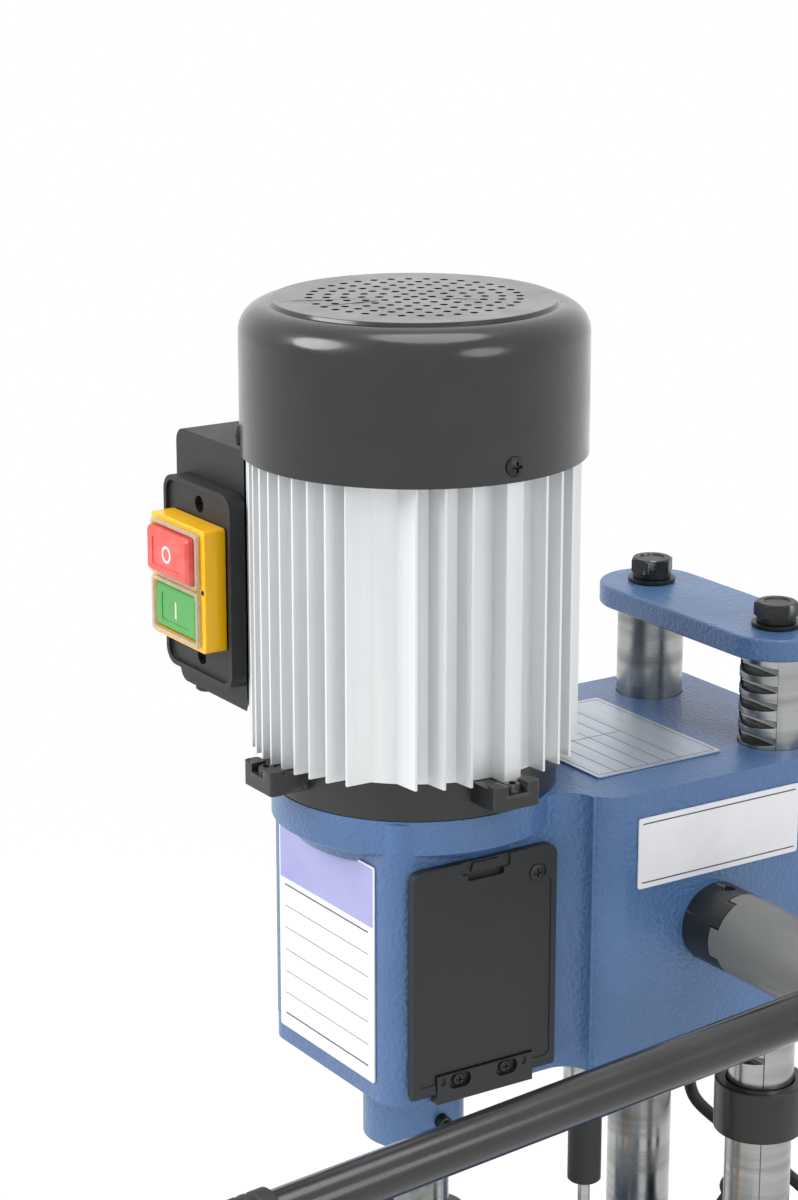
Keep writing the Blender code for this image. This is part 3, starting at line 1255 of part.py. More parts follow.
def chuck_covers(head):
    """Both covers."""
    chuck_cover("chuck_cover_right", 1, head)
    chuck_cover("chuck_cover_left", -1, head)


def hinge_strips(head):
    """Hinge strips below the covers, each with two oblong recesses for its screws."""
    z_range = (HEAD_TOP - STRIP_BOTTOM_DOWN, HEAD_TOP - STRIP_TOP_DOWN)
    face = COVER_INNER + STRIP_THICKNESS
    floor = face - HINGE_SLOT_DEPTH
    half = HINGE_SLOT_LENGTH / 2 + HINGE_SLOT_RADIUS
    across = (-HINGE_SLOT_RADIUS, HINGE_SLOT_RADIUS)
    outline = rounded(across, (-half, half), HINGE_SLOT_RADIUS - GAP, 1)
    height = HEAD_TOP - HINGE_SCREW_DOWN
    ys = (HINGE_SCREW_Y - HINGE_SCREW_HALF_SPACING, HINGE_SCREW_Y + HINGE_SCREW_HALF_SPACING)
    for side, word in ((1, "right"), (-1, "left")):
        x_range = sorted((side * COVER_INNER, side * face))
        strip = block(x_range, (-STRIP_HALF_WIDTH, STRIP_HALF_WIDTH), z_range)
        obj = solid("hinge_strip_" + word, strip, "black_plastic", head)
        turn = (0, side * math.pi / 2, 0)
        cut(obj, merged([moved(extruded(outline, floor, face + OVERRUN), (0, y, height), turn) for y in ys]))


def label_plates(head):
    """Blank plates on the head: front, top and right side."""
    inner = FRONT_FACE - GAP
    outline = rounded((-PLATE_HALF_X, PLATE_HALF_X), (HEAD_TOP - PLATE_BOTTOM_DOWN, HEAD_TOP - PLATE_TOP_DOWN), GAP)
    solid("front_plate", facing_front(outline, inner - LABEL_THICKNESS, inner), "label", head)
    low = HEAD_TOP + GAP
    rating = block((-RATING_HALF_X, RATING_HALF_X), (RATING_FRONT, RATING_BACK), (low, low + LABEL_THICKNESS))
    solid("rating_plate", rating, "aluminium", head)
    face = REAR_HALF_WIDTH + GAP
    z_range = (HEAD_TOP - SIDE_LABEL_BOTTOM_DOWN, HEAD_TOP - SIDE_LABEL_TOP_DOWN)
    side = block((face, face + LABEL_THICKNESS), (SIDE_LABEL_FRONT, SIDE_LABEL_BACK), z_range)
    solid("side_plate", side, "label", head)


def switch_enclosure(head):
    """Switch box with an open right side, shaped to sit on the motor body below the cowl."""
    x_range = (SWITCH_X - BOX_HALF_WIDTH, SWITCH_X + BOX_HALF_WIDTH)
    z_range = (HEAD_TOP + BOX_BOTTOM_UP, HEAD_TOP + BOX_TOP_UP)
    back = BOX_FRONT + BOX_BACK_REACH
    shape = facing_front(rounded(x_range, z_range, BOX_CORNER), BOX_FRONT, back)
    obj = solid("switch_enclosure", shape, "black_plastic", head)
    inner_x = (x_range[0] + BOX_WALL, x_range[1] - BOX_WALL)
    inner_z = (z_range[0] + BOX_WALL, z_range[1] - BOX_WALL)
    cut(obj, block(inner_x, (BOX_FRONT + BOX_WALL, back - BOX_WALL), inner_z))
    cut(obj, motor_clearance())
    holes = [cylinder(BUTTON_STEM_RADIUS + GAP, -OVERRUN, OVERRUN, SCREW_SIDES) for _ in (STOP_Z, START_Z)]
    places = ((SWITCH_X, BOX_FRONT, STOP_Z), (SWITCH_X, BOX_FRONT, START_Z))
    cut(obj, merged([moved(hole, place, ALONG_Y) for hole, place in zip(holes, places)]))


def feed_pinion(feed):
    """Feed shaft through the head, the pinion that climbs the rack, and the dog collar."""
    axis = (0, HUB_Y, HUB_Z)
    start = -REAR_HALF_WIDTH
    shaft = solid("pinion_shaft", moved(cylinder(FEED_SHAFT_RADIUS, start, SHAFT_END), axis, ALONG_X), "bright_steel", feed)
    tap = cylinder(HUB_SCREW_RADIUS + GAP, SHAFT_END - HUB_SCREW_DEPTH - GAP, SHAFT_END + OVERRUN, SCREW_SIDES)
    cut(shaft, moved(tap, axis, ALONG_X))
    half = PINION_HALF_WIDTH
    gear_shape = moved(extruded(pinion_outline(), COLUMN_X - half, COLUMN_X + half), axis, ALONG_X)
    gear = solid("pinion_gear", gear_shape, "tool_steel", feed)
    bore = FEED_SHAFT_RADIUS + GAP
    hole = cylinder(bore, COLUMN_X - half - OVERRUN, COLUMN_X + half + OVERRUN)
    cut(gear, moved(hole, axis, ALONG_X))
    collar_shape = tube(DOG_RADIUS, bore, DOG_COLLAR_START, DOG_PLANE)
    collar = solid("dog_collar", moved(collar_shape, axis, ALONG_X), "black_oxide", feed)
    cut(collar, moved(dog_gaps(DOG_PLANE - DOG_HEIGHT, DOG_PLANE + OVERRUN, 0), axis, ALONG_X))
    middle = (DOG_COLLAR_START + DOG_PLANE - DOG_HEIGHT) / 2
    spot = (middle, HUB_Y, HUB_Z)
    start = DOG_RADIUS - SET_SCREW_DEPTH
    cut(collar, moved(cylinder(SET_SCREW_RADIUS, start, DOG_RADIUS + OVERRUN, SCREW_SIDES), spot))
    solid("hub_screw", hub_screw(axis), "black_oxide", feed)


def hub_screw(axis):
    """Screw in the shaft's end that keeps the lever hub on, with its spring's seat under the head."""
    start = SHAFT_END - HUB_SCREW_DEPTH
    seat = SHAFT_END + HUB_SCREW_REACH
    top = seat + HUB_SCREW_HEAD
    radius = HUB_SCREW_RADIUS
    head = HUB_SCREW_HEAD_RADIUS
    profile = ((0, start), (radius, start), (radius, seat), (head, seat), (head, top), (0, top))
    return moved(turned(profile, SMALL_SIDES), axis, ALONG_X)


def pinion_outline():
    """Outline of the pinion, one tooth standing in the nearest rack slot at rest."""
    nearest = min(rack_slot_heights(), key=lambda height: abs(height - HUB_Z))
    lead = (nearest - HUB_Z) / PINION_RADIUS
    root = PINION_RADIUS - PINION_ROOT_DEPTH
    tip = PINION_RADIUS + RACK_ADDENDUM
    flank = ((root, PINION_ROOT_HALF), (tip, PINION_TIP_HALF))
    outline = []
    for tooth in range(PINION_TEETH):
        angle = math.pi / 2 + lead + math.tau * tooth / PINION_TEETH
        sides = [(radius, -half) for radius, half in flank] + [(radius, half) for radius, half in flank[::-1]]
        for radius, offset in sides:
            turn = angle + offset / radius
            outline.append((radius * math.cos(turn), radius * math.sin(turn)))
    return outline


def dog_gaps(low, high, phase):
    """Wedges between the dogs of the clutch, about Z."""
    outline = arc((0, 0), DOG_RADIUS + OVERRUN, phase - DOG_GAP_HALF_ANGLE, phase + DOG_GAP_HALF_ANGLE, 1)
    outline += arc((0, 0), DOG_ROOT, phase + DOG_GAP_HALF_ANGLE, phase - DOG_GAP_HALF_ANGLE, 1)
    return around(DOG_COUNT, lambda: extruded(outline, low, high))


def feed_lever(lever):
    """Lever hub with the other half of the dog clutch, the bar and its end grip."""
    axis = (0, HUB_Y, HUB_Z)
    bore = FEED_SHAFT_RADIUS + GAP
    near = DOG_PLANE - DOG_HEIGHT + DOG_CLEARANCE
    body = DOG_PLANE + DOG_CLEARANCE
    web = SHAFT_END + 2 * GAP
    floor = web + HUB_WEB
    hole = HUB_SCREW_RADIUS + GAP
    recess = HUB_RECESS_RADIUS
    profile = ((bore, near), (DOG_RADIUS, near), (DOG_RADIUS, HUB_END), (recess, HUB_END), (recess, floor), (hole, floor), (hole, web), (bore, web))
    hub = solid("lever_hub", moved(turned(profile), axis, ALONG_X), "black_oxide", lever)
    pitch = math.degrees(math.tau / DOG_COUNT)
    cut(hub, moved(dog_gaps(near - OVERRUN, body, pitch / 2), axis, ALONG_X))
    place = (LEVER_X, HUB_Y, HUB_Z)
    turn = (math.pi / 2 + LEVER_SLOPE, 0, 0)
    seat = cylinder(LEVER_RADIUS + GAP, LEVER_START - GAP, DOG_RADIUS + OVERRUN)
    cut(hub, moved(seat, place, turn))
    stud_hole = cylinder(LEVER_STUD_RADIUS + GAP, bore - OVERRUN, LEVER_START)
    cut(hub, moved(stud_hole, place, turn))
    stud = LEVER_STUD_RADIUS
    neck = LEVER_REACH - LEVER_GRIP
    end = LEVER_REACH - LEVER_GRIP_WALL - GAP
    radius = LEVER_RADIUS
    bar = ((0, bore), (stud, bore), (stud, LEVER_START), (radius, LEVER_START), (radius, end), (0, end))
    solid("lever_bar", moved(turned(bar), place, turn), "black_paint", lever)
    outer = radius + GAP + LEVER_GRIP_WALL
    inner = radius + GAP
    tip = LEVER_REACH - LEVER_GRIP_WALL
    grip = cowl_shell([(outer, neck), (outer, LEVER_REACH), (0, LEVER_REACH), (0, tip), (inner, tip), (inner, neck)], ROUND_SIDES)
    solid("lever_end_cap", moved(grip, place, turn), "cord_rubber", lever)


def spring_unit(head):
    """Counterbalance: closed tube and end sleeve in the head, piston rod on the base, coil spring."""
    place = (SPRING_X, SPRING_Y, 0)
    top = HEAD_TOP - SPRING_TUBE_TOP_DOWN
    low = HEAD_TOP - SPRING_TUBE_BOTTOM_DOWN
    inner = SPRING_TUBE_RADIUS - SPRING_TUBE_WALL
    roof = top - SPRING_TUBE_ROOF
    outer = SPRING_TUBE_RADIUS
    shell = cowl_shell([(outer, low), (outer, top), (0, top), (0, roof), (inner, roof), (inner, low)], SMALL_SIDES)
    solid("spring_tube", moved(shell, place), "bright_steel", head)
    sleeve_low = HEAD_TOP - SLEEVE_BOTTOM_DOWN
    sleeve = tube(SLEEVE_RADIUS, ROD_RADIUS + 2 * GAP, sleeve_low, low - GAP, SMALL_SIDES)
    solid("spring_sleeve", moved(sleeve, place), "black_plastic", head)
    start = BASE_HEIGHT - ROD_SEAT + GAP
    piston_top = HEAD_TOP - PISTON_TOP_DOWN
    piston_low = piston_top - PISTON_HEIGHT
    piston = PISTON_RADIUS
    profile = ((0, start), (ROD_RADIUS, start), (ROD_RADIUS, piston_low), (piston, piston_low), (piston, piston_top), (0, piston_top))
    nut_low = BASE_HEIGHT + GAP
    rod = solid("spring_rod", moved(turned(profile, SMALL_SIDES), place), "bright_steel")
    join(rod, moved(extruded(hexagon(ROD_NUT_RADIUS), nut_low, nut_low + ROD_NUT_HEIGHT), place))
    spring_low = piston_top + GAP + WIRE_RADIUS
    spring_high = roof - GAP - WIRE_RADIUS
    count = SPRING_TURNS * SPRING_POINTS
    points = []
    for step in range(count + 1):
        share = step / count
        turn = math.tau * SPRING_TURNS * share
        radius = COIL_RADIUS
        points.append((radius * math.cos(turn), radius * math.sin(turn), spring_low + (spring_high - spring_low) * share))
    wire("balance_spring", points, WIRE_RADIUS, 1, "bright_steel", head, place)


def wire(name, points, radius, roundness, finish, parent=None, place=(0, 0, 0)):
    """A round tube along points, as one open poly spline with filled ends."""
    data = bpy.data.curves.new(name, "CURVE")
    data.dimensions = "3D"
    data.bevel_depth = radius
    data.bevel_resolution = roundness
    data.use_fill_caps = True
    spline = data.splines.new("POLY")
    spline.points.add(len(points) - 1)
    for point, spot in zip(spline.points, points):
        point.co = (*spot, 1)
    data.materials.append(finish_material(finish))
    obj = bpy.data.objects.new(name, data)
    bpy.context.collection.objects.link(obj)
    obj.location = place
    if parent is not None:
        attach(obj, parent)
    return obj


def fence_parts():
    """Fence plate on its bar, sliding through the bracket, with the hold-down's post."""
    fence = pivot("fence_slide", (0, FENCE_FACE, FENCE_BAR_Z))
    low = TABLE_TOP + FENCE_CLEARANCE
    high = low + FENCE_HEIGHT
    back = FENCE_FACE + FENCE_THICKNESS
    outline = rounded((-FENCE_HALF_WIDTH, FENCE_HALF_WIDTH), (low, high), FENCE_CORNER)
    plate = solid("fence_plate", facing_front(outline, FENCE_FACE, back), "blue_paint", fence)
    join(plate, moved(cylinder(POST_BOSS_RADIUS, low + GAP, high - GAP), (POST_X, POST_Y, 0)))
    seat = TABLE_TOP + POST_SEAT_ABOVE_TABLE
    post_hole = moved(cylinder(POST_RADIUS + GAP, seat - GAP, high + OVERRUN), (POST_X, POST_Y, 0))
    spigot_y = back - FENCE_SPIGOT
    bar_place = (0, 0, FENCE_BAR_Z)
    spigot_hole = moved(cylinder(FENCE_SPIGOT_RADIUS + GAP, spigot_y - GAP, back + OVERRUN, SMALL_SIDES), bar_place, ALONG_Y)
    cut(plate, merged([post_hole, spigot_hole]))
    profile = ((0, spigot_y), (FENCE_SPIGOT_RADIUS, spigot_y), (FENCE_SPIGOT_RADIUS, back + GAP), (FENCE_BAR_RADIUS, back + GAP), (FENCE_BAR_RADIUS, FENCE_BAR_END), (0, FENCE_BAR_END))
    solid("fence_bar", moved(turned(profile, SMALL_SIDES), bar_place, ALONG_Y), "bright_steel", fence)
    post = cylinder(POST_RADIUS, seat, TABLE_TOP + POST_ABOVE_TABLE)
    solid("hold_down_post", moved(post, (POST_X, POST_Y, 0)), "bright_steel", fence)
    return fence


def fence_bracket():
    """Bracket on the base that guides the fence bar, and its locking handle."""
    low = BASE_HEIGHT + GAP
    high = TABLE_TOP + BRACKET_ABOVE_TABLE
    x_range = (-BRACKET_HALF_WIDTH, BRACKET_HALF_WIDTH)
    y_range = (BRACKET_FRONT, BRACKET_BACK)
    shape = extruded(rounded(x_range, y_range, BRACKET_CORNER, 2), low, high)
    obj = solid("fence_bracket", shape, "blue_paint")
    bar = cylinder(FENCE_BAR_RADIUS + GAP, BRACKET_FRONT - OVERRUN, BRACKET_BACK + OVERRUN, SMALL_SIDES)
    cut(obj, moved(bar, (0, 0, FENCE_BAR_Z), ALONG_Y))
    stem = cylinder(LOCK_STEM_RADIUS + GAP, FENCE_BAR_Z, high + OVERRUN, SMALL_SIDES)
    cut(obj, moved(stem, (0, LOCK_Y, 0)))
    top = low + BRACKET_SCREW_BITE
    places = bracket_screw_places((x_range, y_range))
    cut(obj, merged([moved(cylinder(BOARD_SCREW_RADIUS + GAP, low - OVERRUN, top + GAP, SCREW_SIDES), (x, y, 0)) for x, y in places]))
    lock_handle(high)


def lock_handle(high):
    """Handle whose stem clamps the fence bar."""
    lock = pivot("fence_lock", (0, LOCK_Y, high))
    stem_low = FENCE_BAR_Z + FENCE_BAR_RADIUS + LOCK_TIP_GAP
    hub_low = high + GAP
    hub_high = hub_low + LOCK_HUB_HEIGHT
    stem = LOCK_STEM_RADIUS
    hub = LOCK_HUB_RADIUS
    profile = ((0, stem_low), (stem, stem_low), (stem, hub_low), (hub, hub_low), (hub, hub_high), (0, hub_high))
    obj = solid("fence_lock_handle", moved(turned(profile, SMALL_SIDES), (0, LOCK_Y, 0)), "black_plastic", lock)
    ball = LOCK_BALL_RADIUS
    arm = LOCK_ARM_RADIUS
    neck = LOCK_ARM_LENGTH - ball / 2
    bead = [(ball * math.sin(a), LOCK_ARM_LENGTH - ball * math.cos(a)) for a in (math.tau / 8, math.tau / 4, math.tau * 3 / 8)]
    shape = turned(((0, 0), (arm, 0), (arm, neck), *bead[1:], (0, LOCK_ARM_LENGTH + ball)), SCREW_SIDES)
    join(obj, moved(shape, (0, LOCK_Y, (hub_low + hub_high) / 2), (LOCK_ARM_RISE - math.pi / 2, 0, 0)))


def hold_down(fence):
    """Forked arm on the post, and the knob that clamps it."""
    base = TABLE_TOP + ARM_ABOVE_TABLE
    slide = pivot("hold_down_slide", (POST_X, POST_Y, base), fence)
    high = base + ARM_THICKNESS
    x_range = (POST_X - ARM_HUB_RADIUS / 2, ARM_RIGHT)
    outline = rounded(x_range, (ARM_FRONT, ARM_BACK), ARM_CORNER, 2)
    arm = solid("hold_down_arm", extruded(outline, base, high), "black_paint", slide)
    hub = cylinder(ARM_HUB_RADIUS, base - GAP, base + ARM_HUB_HEIGHT)
    join(arm, moved(hub, (POST_X, POST_Y, 0)))
    half = ARM_SLOT_HALF
    slot = block((-half, half), (ARM_FRONT - OVERRUN, ARM_SLOT_BACK), (base - OVERRUN, high + OVERRUN))
    middle = base + (ARM_HUB_HEIGHT + ARM_THICKNESS) / 2
    bore = POST_RADIUS + GAP
    cut(arm, slot)
    notch = block((POST_X - ARM_HUB_RADIUS - OVERRUN, ARM_LEFT), (ARM_FRONT - OVERRUN, ARM_NOTCH_BACK), (base - OVERRUN, high + OVERRUN))
    cut(arm, notch)
    cut(arm, moved(cylinder(bore, base - OVERRUN, base + ARM_HUB_HEIGHT + OVERRUN), (POST_X, POST_Y, 0)))
    stem = SIDE_KNOB_STEM
    turn = (0, -math.pi / 2, 0)
    spot = (POST_X, POST_Y, middle)
    cut(arm, moved(cylinder(stem + GAP, POST_RADIUS, ARM_HUB_RADIUS + OVERRUN, SCREW_SIDES), spot, turn))
    knob = pivot("hold_down_knob_turn", spot, slide)
    seat = ARM_HUB_RADIUS + SIDE_KNOB_REACH
    end = seat + SIDE_KNOB_LENGTH
    grip = SIDE_KNOB_RADIUS
    start = POST_RADIUS + 2 * GAP
    lobes = []
    for k in range(SIDE_KNOB_SIDES):
        radius = grip * (SIDE_KNOB_DIMPLE_SHARE if k % 2 else 1)
        lobes.append((radius * math.cos(math.tau * k / SIDE_KNOB_SIDES), radius * math.sin(math.tau * k / SIDE_KNOB_SIDES)))
    knob_obj = solid("hold_down_knob", moved(extruded(lobes, seat, end), spot, turn), "black_plastic", knob)
    join(knob_obj, moved(cylinder(stem, start, seat + SIDE_KNOB_REACH / 2, SCREW_SIDES), spot, turn))


def cord_gland(head):
    """Gland with its strain relief, under the head's rear wall."""
    low = HEAD_BOTTOM - GLAND_LENGTH
    nut_low = HEAD_BOTTOM - GAP - GLAND_NUT
    seat = HEAD_BOTTOM - 2 * GAP
    nut = GLAND_NUT_RADIUS
    shank = GLAND_SHANK_RADIUS
    top = HEAD_BOTTOM + GLAND_SHANK - GAP
    waist = (GLAND_TIP_RADIUS + nut) / 2
    tip = GLAND_TIP_RADIUS
    profile = ((0, low), (tip, low), (waist, nut_low), (nut, nut_low), (nut, seat), (shank, seat), (shank, top), (0, top))
    solid("cord_gland", moved(turned(profile, SMALL_SIDES), (GLAND_X, GLAND_Y, 0)), "cord_rubber", head)


def smooth(points, steps):
    """Catmull-Rom points through a hand-picked route, with its ends kept."""
    route = [Vector(point) for point in points]
    route = [2 * route[0] - route[1], *route, 2 * route[-1] - route[-2]]
    result = []
    for a, b, c, d in zip(route, route[1:], route[2:], route[3:]):
        for step in range(steps):
            t = step / steps
            first = 2 * b + (c - a) * t
            second = (2 * a - 5 * b + 4 * c - d) * t**2
            third = (3 * b - a - 3 * c + d) * t**3
            result.append((first + second + third) / 2)
    result.append(route[-2])
    return result


def coil_points():
    """Coiled lead: spiral in on the bench, climb where it reverses, spiral out, and run straight on."""
    turns = COIL_TURNS_IN + COIL_TURNS_OUT
    count = round(turns * COIL_POINTS)
    points = []
    for step in range(count + 1):
        turn = turns * step / count
        away = turn - COIL_TURNS_IN
        radius = COIL_INNER_RADIUS + COIL_PITCH * math.hypot(away, COIL_SOFT_TURN)
        climb = min(max(away * 2 + 1 / 2, 0), 1)
        ease = climb * climb * (3 - 2 * climb)
        angle = COIL_START + math.tau * turn
        x = COIL_CENTRE[0] + radius * math.cos(angle)
        y = COIL_CENTRE[1] + radius * math.sin(angle)
        points.append(Vector((x, y, COIL_LOW + COIL_LAYER_STEP * ease)))
    return points


def least_self_gap(points, radius):
    """Least gap between parts of a tube that are more than a third of a loop apart."""
    apart = COIL_POINTS // 3
    least = min((points[i] - points[j]).length for i in range(len(points)) for j in range(i + apart, len(points)))
    return least - 2 * radius


def mains_lead():
    """Mains lead: free stretch, the coil behind the base and the plug."""
    coil = coil_points()
    start = coil[0]
    last = Vector(CORD_ROUTE[-1])
    route = smooth([*CORD_ROUTE[:-1], last, start], CORD_STEPS)
    wire("mains_cord", trimmed(route, CORD_JOINT_GAP), CORD_RADIUS, CORD_SIDES, "cord_rubber")
    heading = (coil[-1] - coil[-2]).normalized()
    heading.z = 0
    heading.normalize()
    plug_back = coil[-1] + heading * COIL_TAIL
    plug_back.z = PLUG_HEIGHT
    tail = []
    for step in range(1, TAIL_STEPS + 1):
        share = step / TAIL_STEPS
        ease = share * share * (3 - 2 * share)
        spot = coil[-1].lerp(plug_back, share)
        spot.z = coil[-1].z + (PLUG_HEIGHT - coil[-1].z) * ease
        tail.append(spot)
    tail.append(plug_back + heading * TAIL_STRAIGHT)
    whole = coil + tail
    print("least self-gap of the coil, mm:", round(least_self_gap(whole, CORD_RADIUS) * 1000, 2))
    wire("cord_coil", whole, CORD_RADIUS, 1, "cord_rubber")
    plug_start = plug_back + heading * (TAIL_STRAIGHT + GAP)
    cord_plug(plug_start, math.atan2(heading.y, heading.x))
    length = sum((b - a).length for a, b in zip(route, route[1:])) + sum((b - a).length for a, b in zip(whole, whole[1:]))
    print("length of the lead, m:", round(length, 3))


def trimmed(points, amount):
    """Points without the last stretch of the given length."""
    kept = list(points)
    while (kept[-1] - kept[-2]).length < amount:
        amount -= (kept[-1] - kept[-2]).length
        kept.pop()
    kept[-1] = kept[-1] + (kept[-2] - kept[-1]).normalized() * amount
    return kept


def cord_plug(start, angle):
    """Moulded mains plug lying on the bench, with two pins."""
    neck = PLUG_NECK_RADIUS
    body = PLUG_BODY_RADIUS
    end = PLUG_NECK_LENGTH + PLUG_BODY_LENGTH
    taper = PLUG_NECK_LENGTH + PLUG_BODY_LENGTH / 3
    profile = ((0, 0), (neck * 3 / 4, 0), (neck, PLUG_NECK_LENGTH), (body, taper), (body, end), (0, end))
    turn = (0, math.pi / 2, angle)
    obj = solid("cord_plug", moved(turned(profile), start, turn), "cord_rubber")
    pins = []
    for side in (-1, 1):
        pin = cylinder(PLUG_PIN_RADIUS, end - PLUG_PIN_RADIUS, end + PLUG_PIN_LENGTH, SCREW_SIDES)
        pins.append(moved(moved(pin, (0, side * PLUG_PIN_HALF_SPACING, 0)), start, turn))
    join(obj, merged(pins))


def main():
    """Build the whole machine."""
    clear_scene()
    base_casting()
    column("plain_column", -COLUMN_X)
    rack_column()
    column_plate()
    plate_fasteners()
    depth_stop()
    head = pivot("head_slide", (0, 0, HEAD_TOP))
    head_casting(head)
    label_plates(head)
    motor_flange(head)
    motor_body(head)
    spindle = pivot("spindle_axis", (0, 0, HEAD_TOP), head)
    motor_inside(head, spindle)
    end_shield(head)
    cooling_fan(spindle)
    fan_cowl(head)
    drill_chuck(spindle)
    auger_bit(spindle)
    chuck_covers(head)
    chisel_set(head)
    hinge_strips(head)
    switch_enclosure(head)
    switch_faceplate(head)
    switch_cover(head)
    button_frames(head)
    switch_block(head)
    push_button("stop_button", STOP_Z, STOP_PROUD, "red_plastic", head)
    push_button("start_button", START_Z, START_PROUD, "green_plastic", head)
    feed = pivot("feed_axis", (0, HUB_Y, HUB_Z), head)
    feed_pinion(feed)
    feed_lever(pivot("lever_slide", (LEVER_X, HUB_Y, HUB_Z), feed))
    spring_unit(head)
    table_board()
    fence_bracket()
    hold_down(fence_parts())
    cord_gland(head)
    mains_lead()


main()
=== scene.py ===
"""Looks of the benchtop mortiser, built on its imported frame."""
import json
import logging
import math
from dataclasses import dataclass, field
from enum import Enum
from typing import Iterable, Sequence

import bmesh
import bpy
from mathutils import Matrix, Vector

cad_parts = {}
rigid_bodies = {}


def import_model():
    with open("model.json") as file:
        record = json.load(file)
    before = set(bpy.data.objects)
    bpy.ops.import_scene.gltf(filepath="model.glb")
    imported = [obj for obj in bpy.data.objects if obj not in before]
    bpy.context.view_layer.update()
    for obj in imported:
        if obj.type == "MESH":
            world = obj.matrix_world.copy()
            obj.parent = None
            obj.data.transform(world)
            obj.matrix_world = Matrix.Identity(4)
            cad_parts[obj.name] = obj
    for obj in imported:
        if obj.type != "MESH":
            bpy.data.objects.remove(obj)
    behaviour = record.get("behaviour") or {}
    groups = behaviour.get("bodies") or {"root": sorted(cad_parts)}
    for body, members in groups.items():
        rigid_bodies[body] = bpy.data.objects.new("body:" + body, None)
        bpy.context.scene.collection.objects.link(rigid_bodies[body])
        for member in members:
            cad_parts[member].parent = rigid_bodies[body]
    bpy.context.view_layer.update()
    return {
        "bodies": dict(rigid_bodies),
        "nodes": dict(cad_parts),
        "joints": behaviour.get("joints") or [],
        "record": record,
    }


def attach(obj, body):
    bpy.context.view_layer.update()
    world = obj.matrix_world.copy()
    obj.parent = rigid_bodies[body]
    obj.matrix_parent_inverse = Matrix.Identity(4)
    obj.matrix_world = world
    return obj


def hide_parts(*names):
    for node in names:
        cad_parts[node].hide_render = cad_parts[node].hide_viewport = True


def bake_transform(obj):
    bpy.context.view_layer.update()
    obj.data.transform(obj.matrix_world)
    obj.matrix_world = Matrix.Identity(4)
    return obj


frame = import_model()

LOG = logging.getLogger("mortiser")
Point2 = tuple[float, float]
Point3 = tuple[float, float, float]
HEAD_TOP = 418.0
HEAD_BOTTOM = 295.0
TABLE_TOP = 78.0
COLUMN_X = 43.9
COLUMN_Y = 158.0
GAP = 0.3


def linear(code: str) -> tuple[float, float, float, float]:
    """Turn an sRGB hex colour into linear RGBA.

    Args:
        code: Colour such as "#4A6F9E".

    Returns:
        Red, green, blue and alpha in linear light.
    """
    parts = [int(code[k:k + 2], 16) / 255 for k in (1, 3, 5)]
    made = [p / 12.92 if p <= 0.04045 else ((p + 0.055) / 1.055) ** 2.4 for p in parts]
    return (made[0], made[1], made[2], 1.0)


def add_node(
    tree: bpy.types.NodeTree, kind: str, settings: dict | None = None, links: dict | None = None
) -> bpy.types.Node:
    """Add one node with its settings and links.

    Args:
        tree: Node tree that gets the node.
        kind: Blender's name of the node type.
        settings: Attribute names, or input socket names and indices, with their values.
        links: Input socket names or indices with the output sockets that feed them.

    Returns:
        The new node.
    """
    made = tree.nodes.new(kind)
    for key, value in (settings or {}).items():
        if isinstance(key, str) and hasattr(made, key):
            setattr(made, key, value)
        else:
            made.inputs[key].default_value = value
    for key, source in (links or {}).items():
        tree.links.new(source, made.inputs[key])
    return made


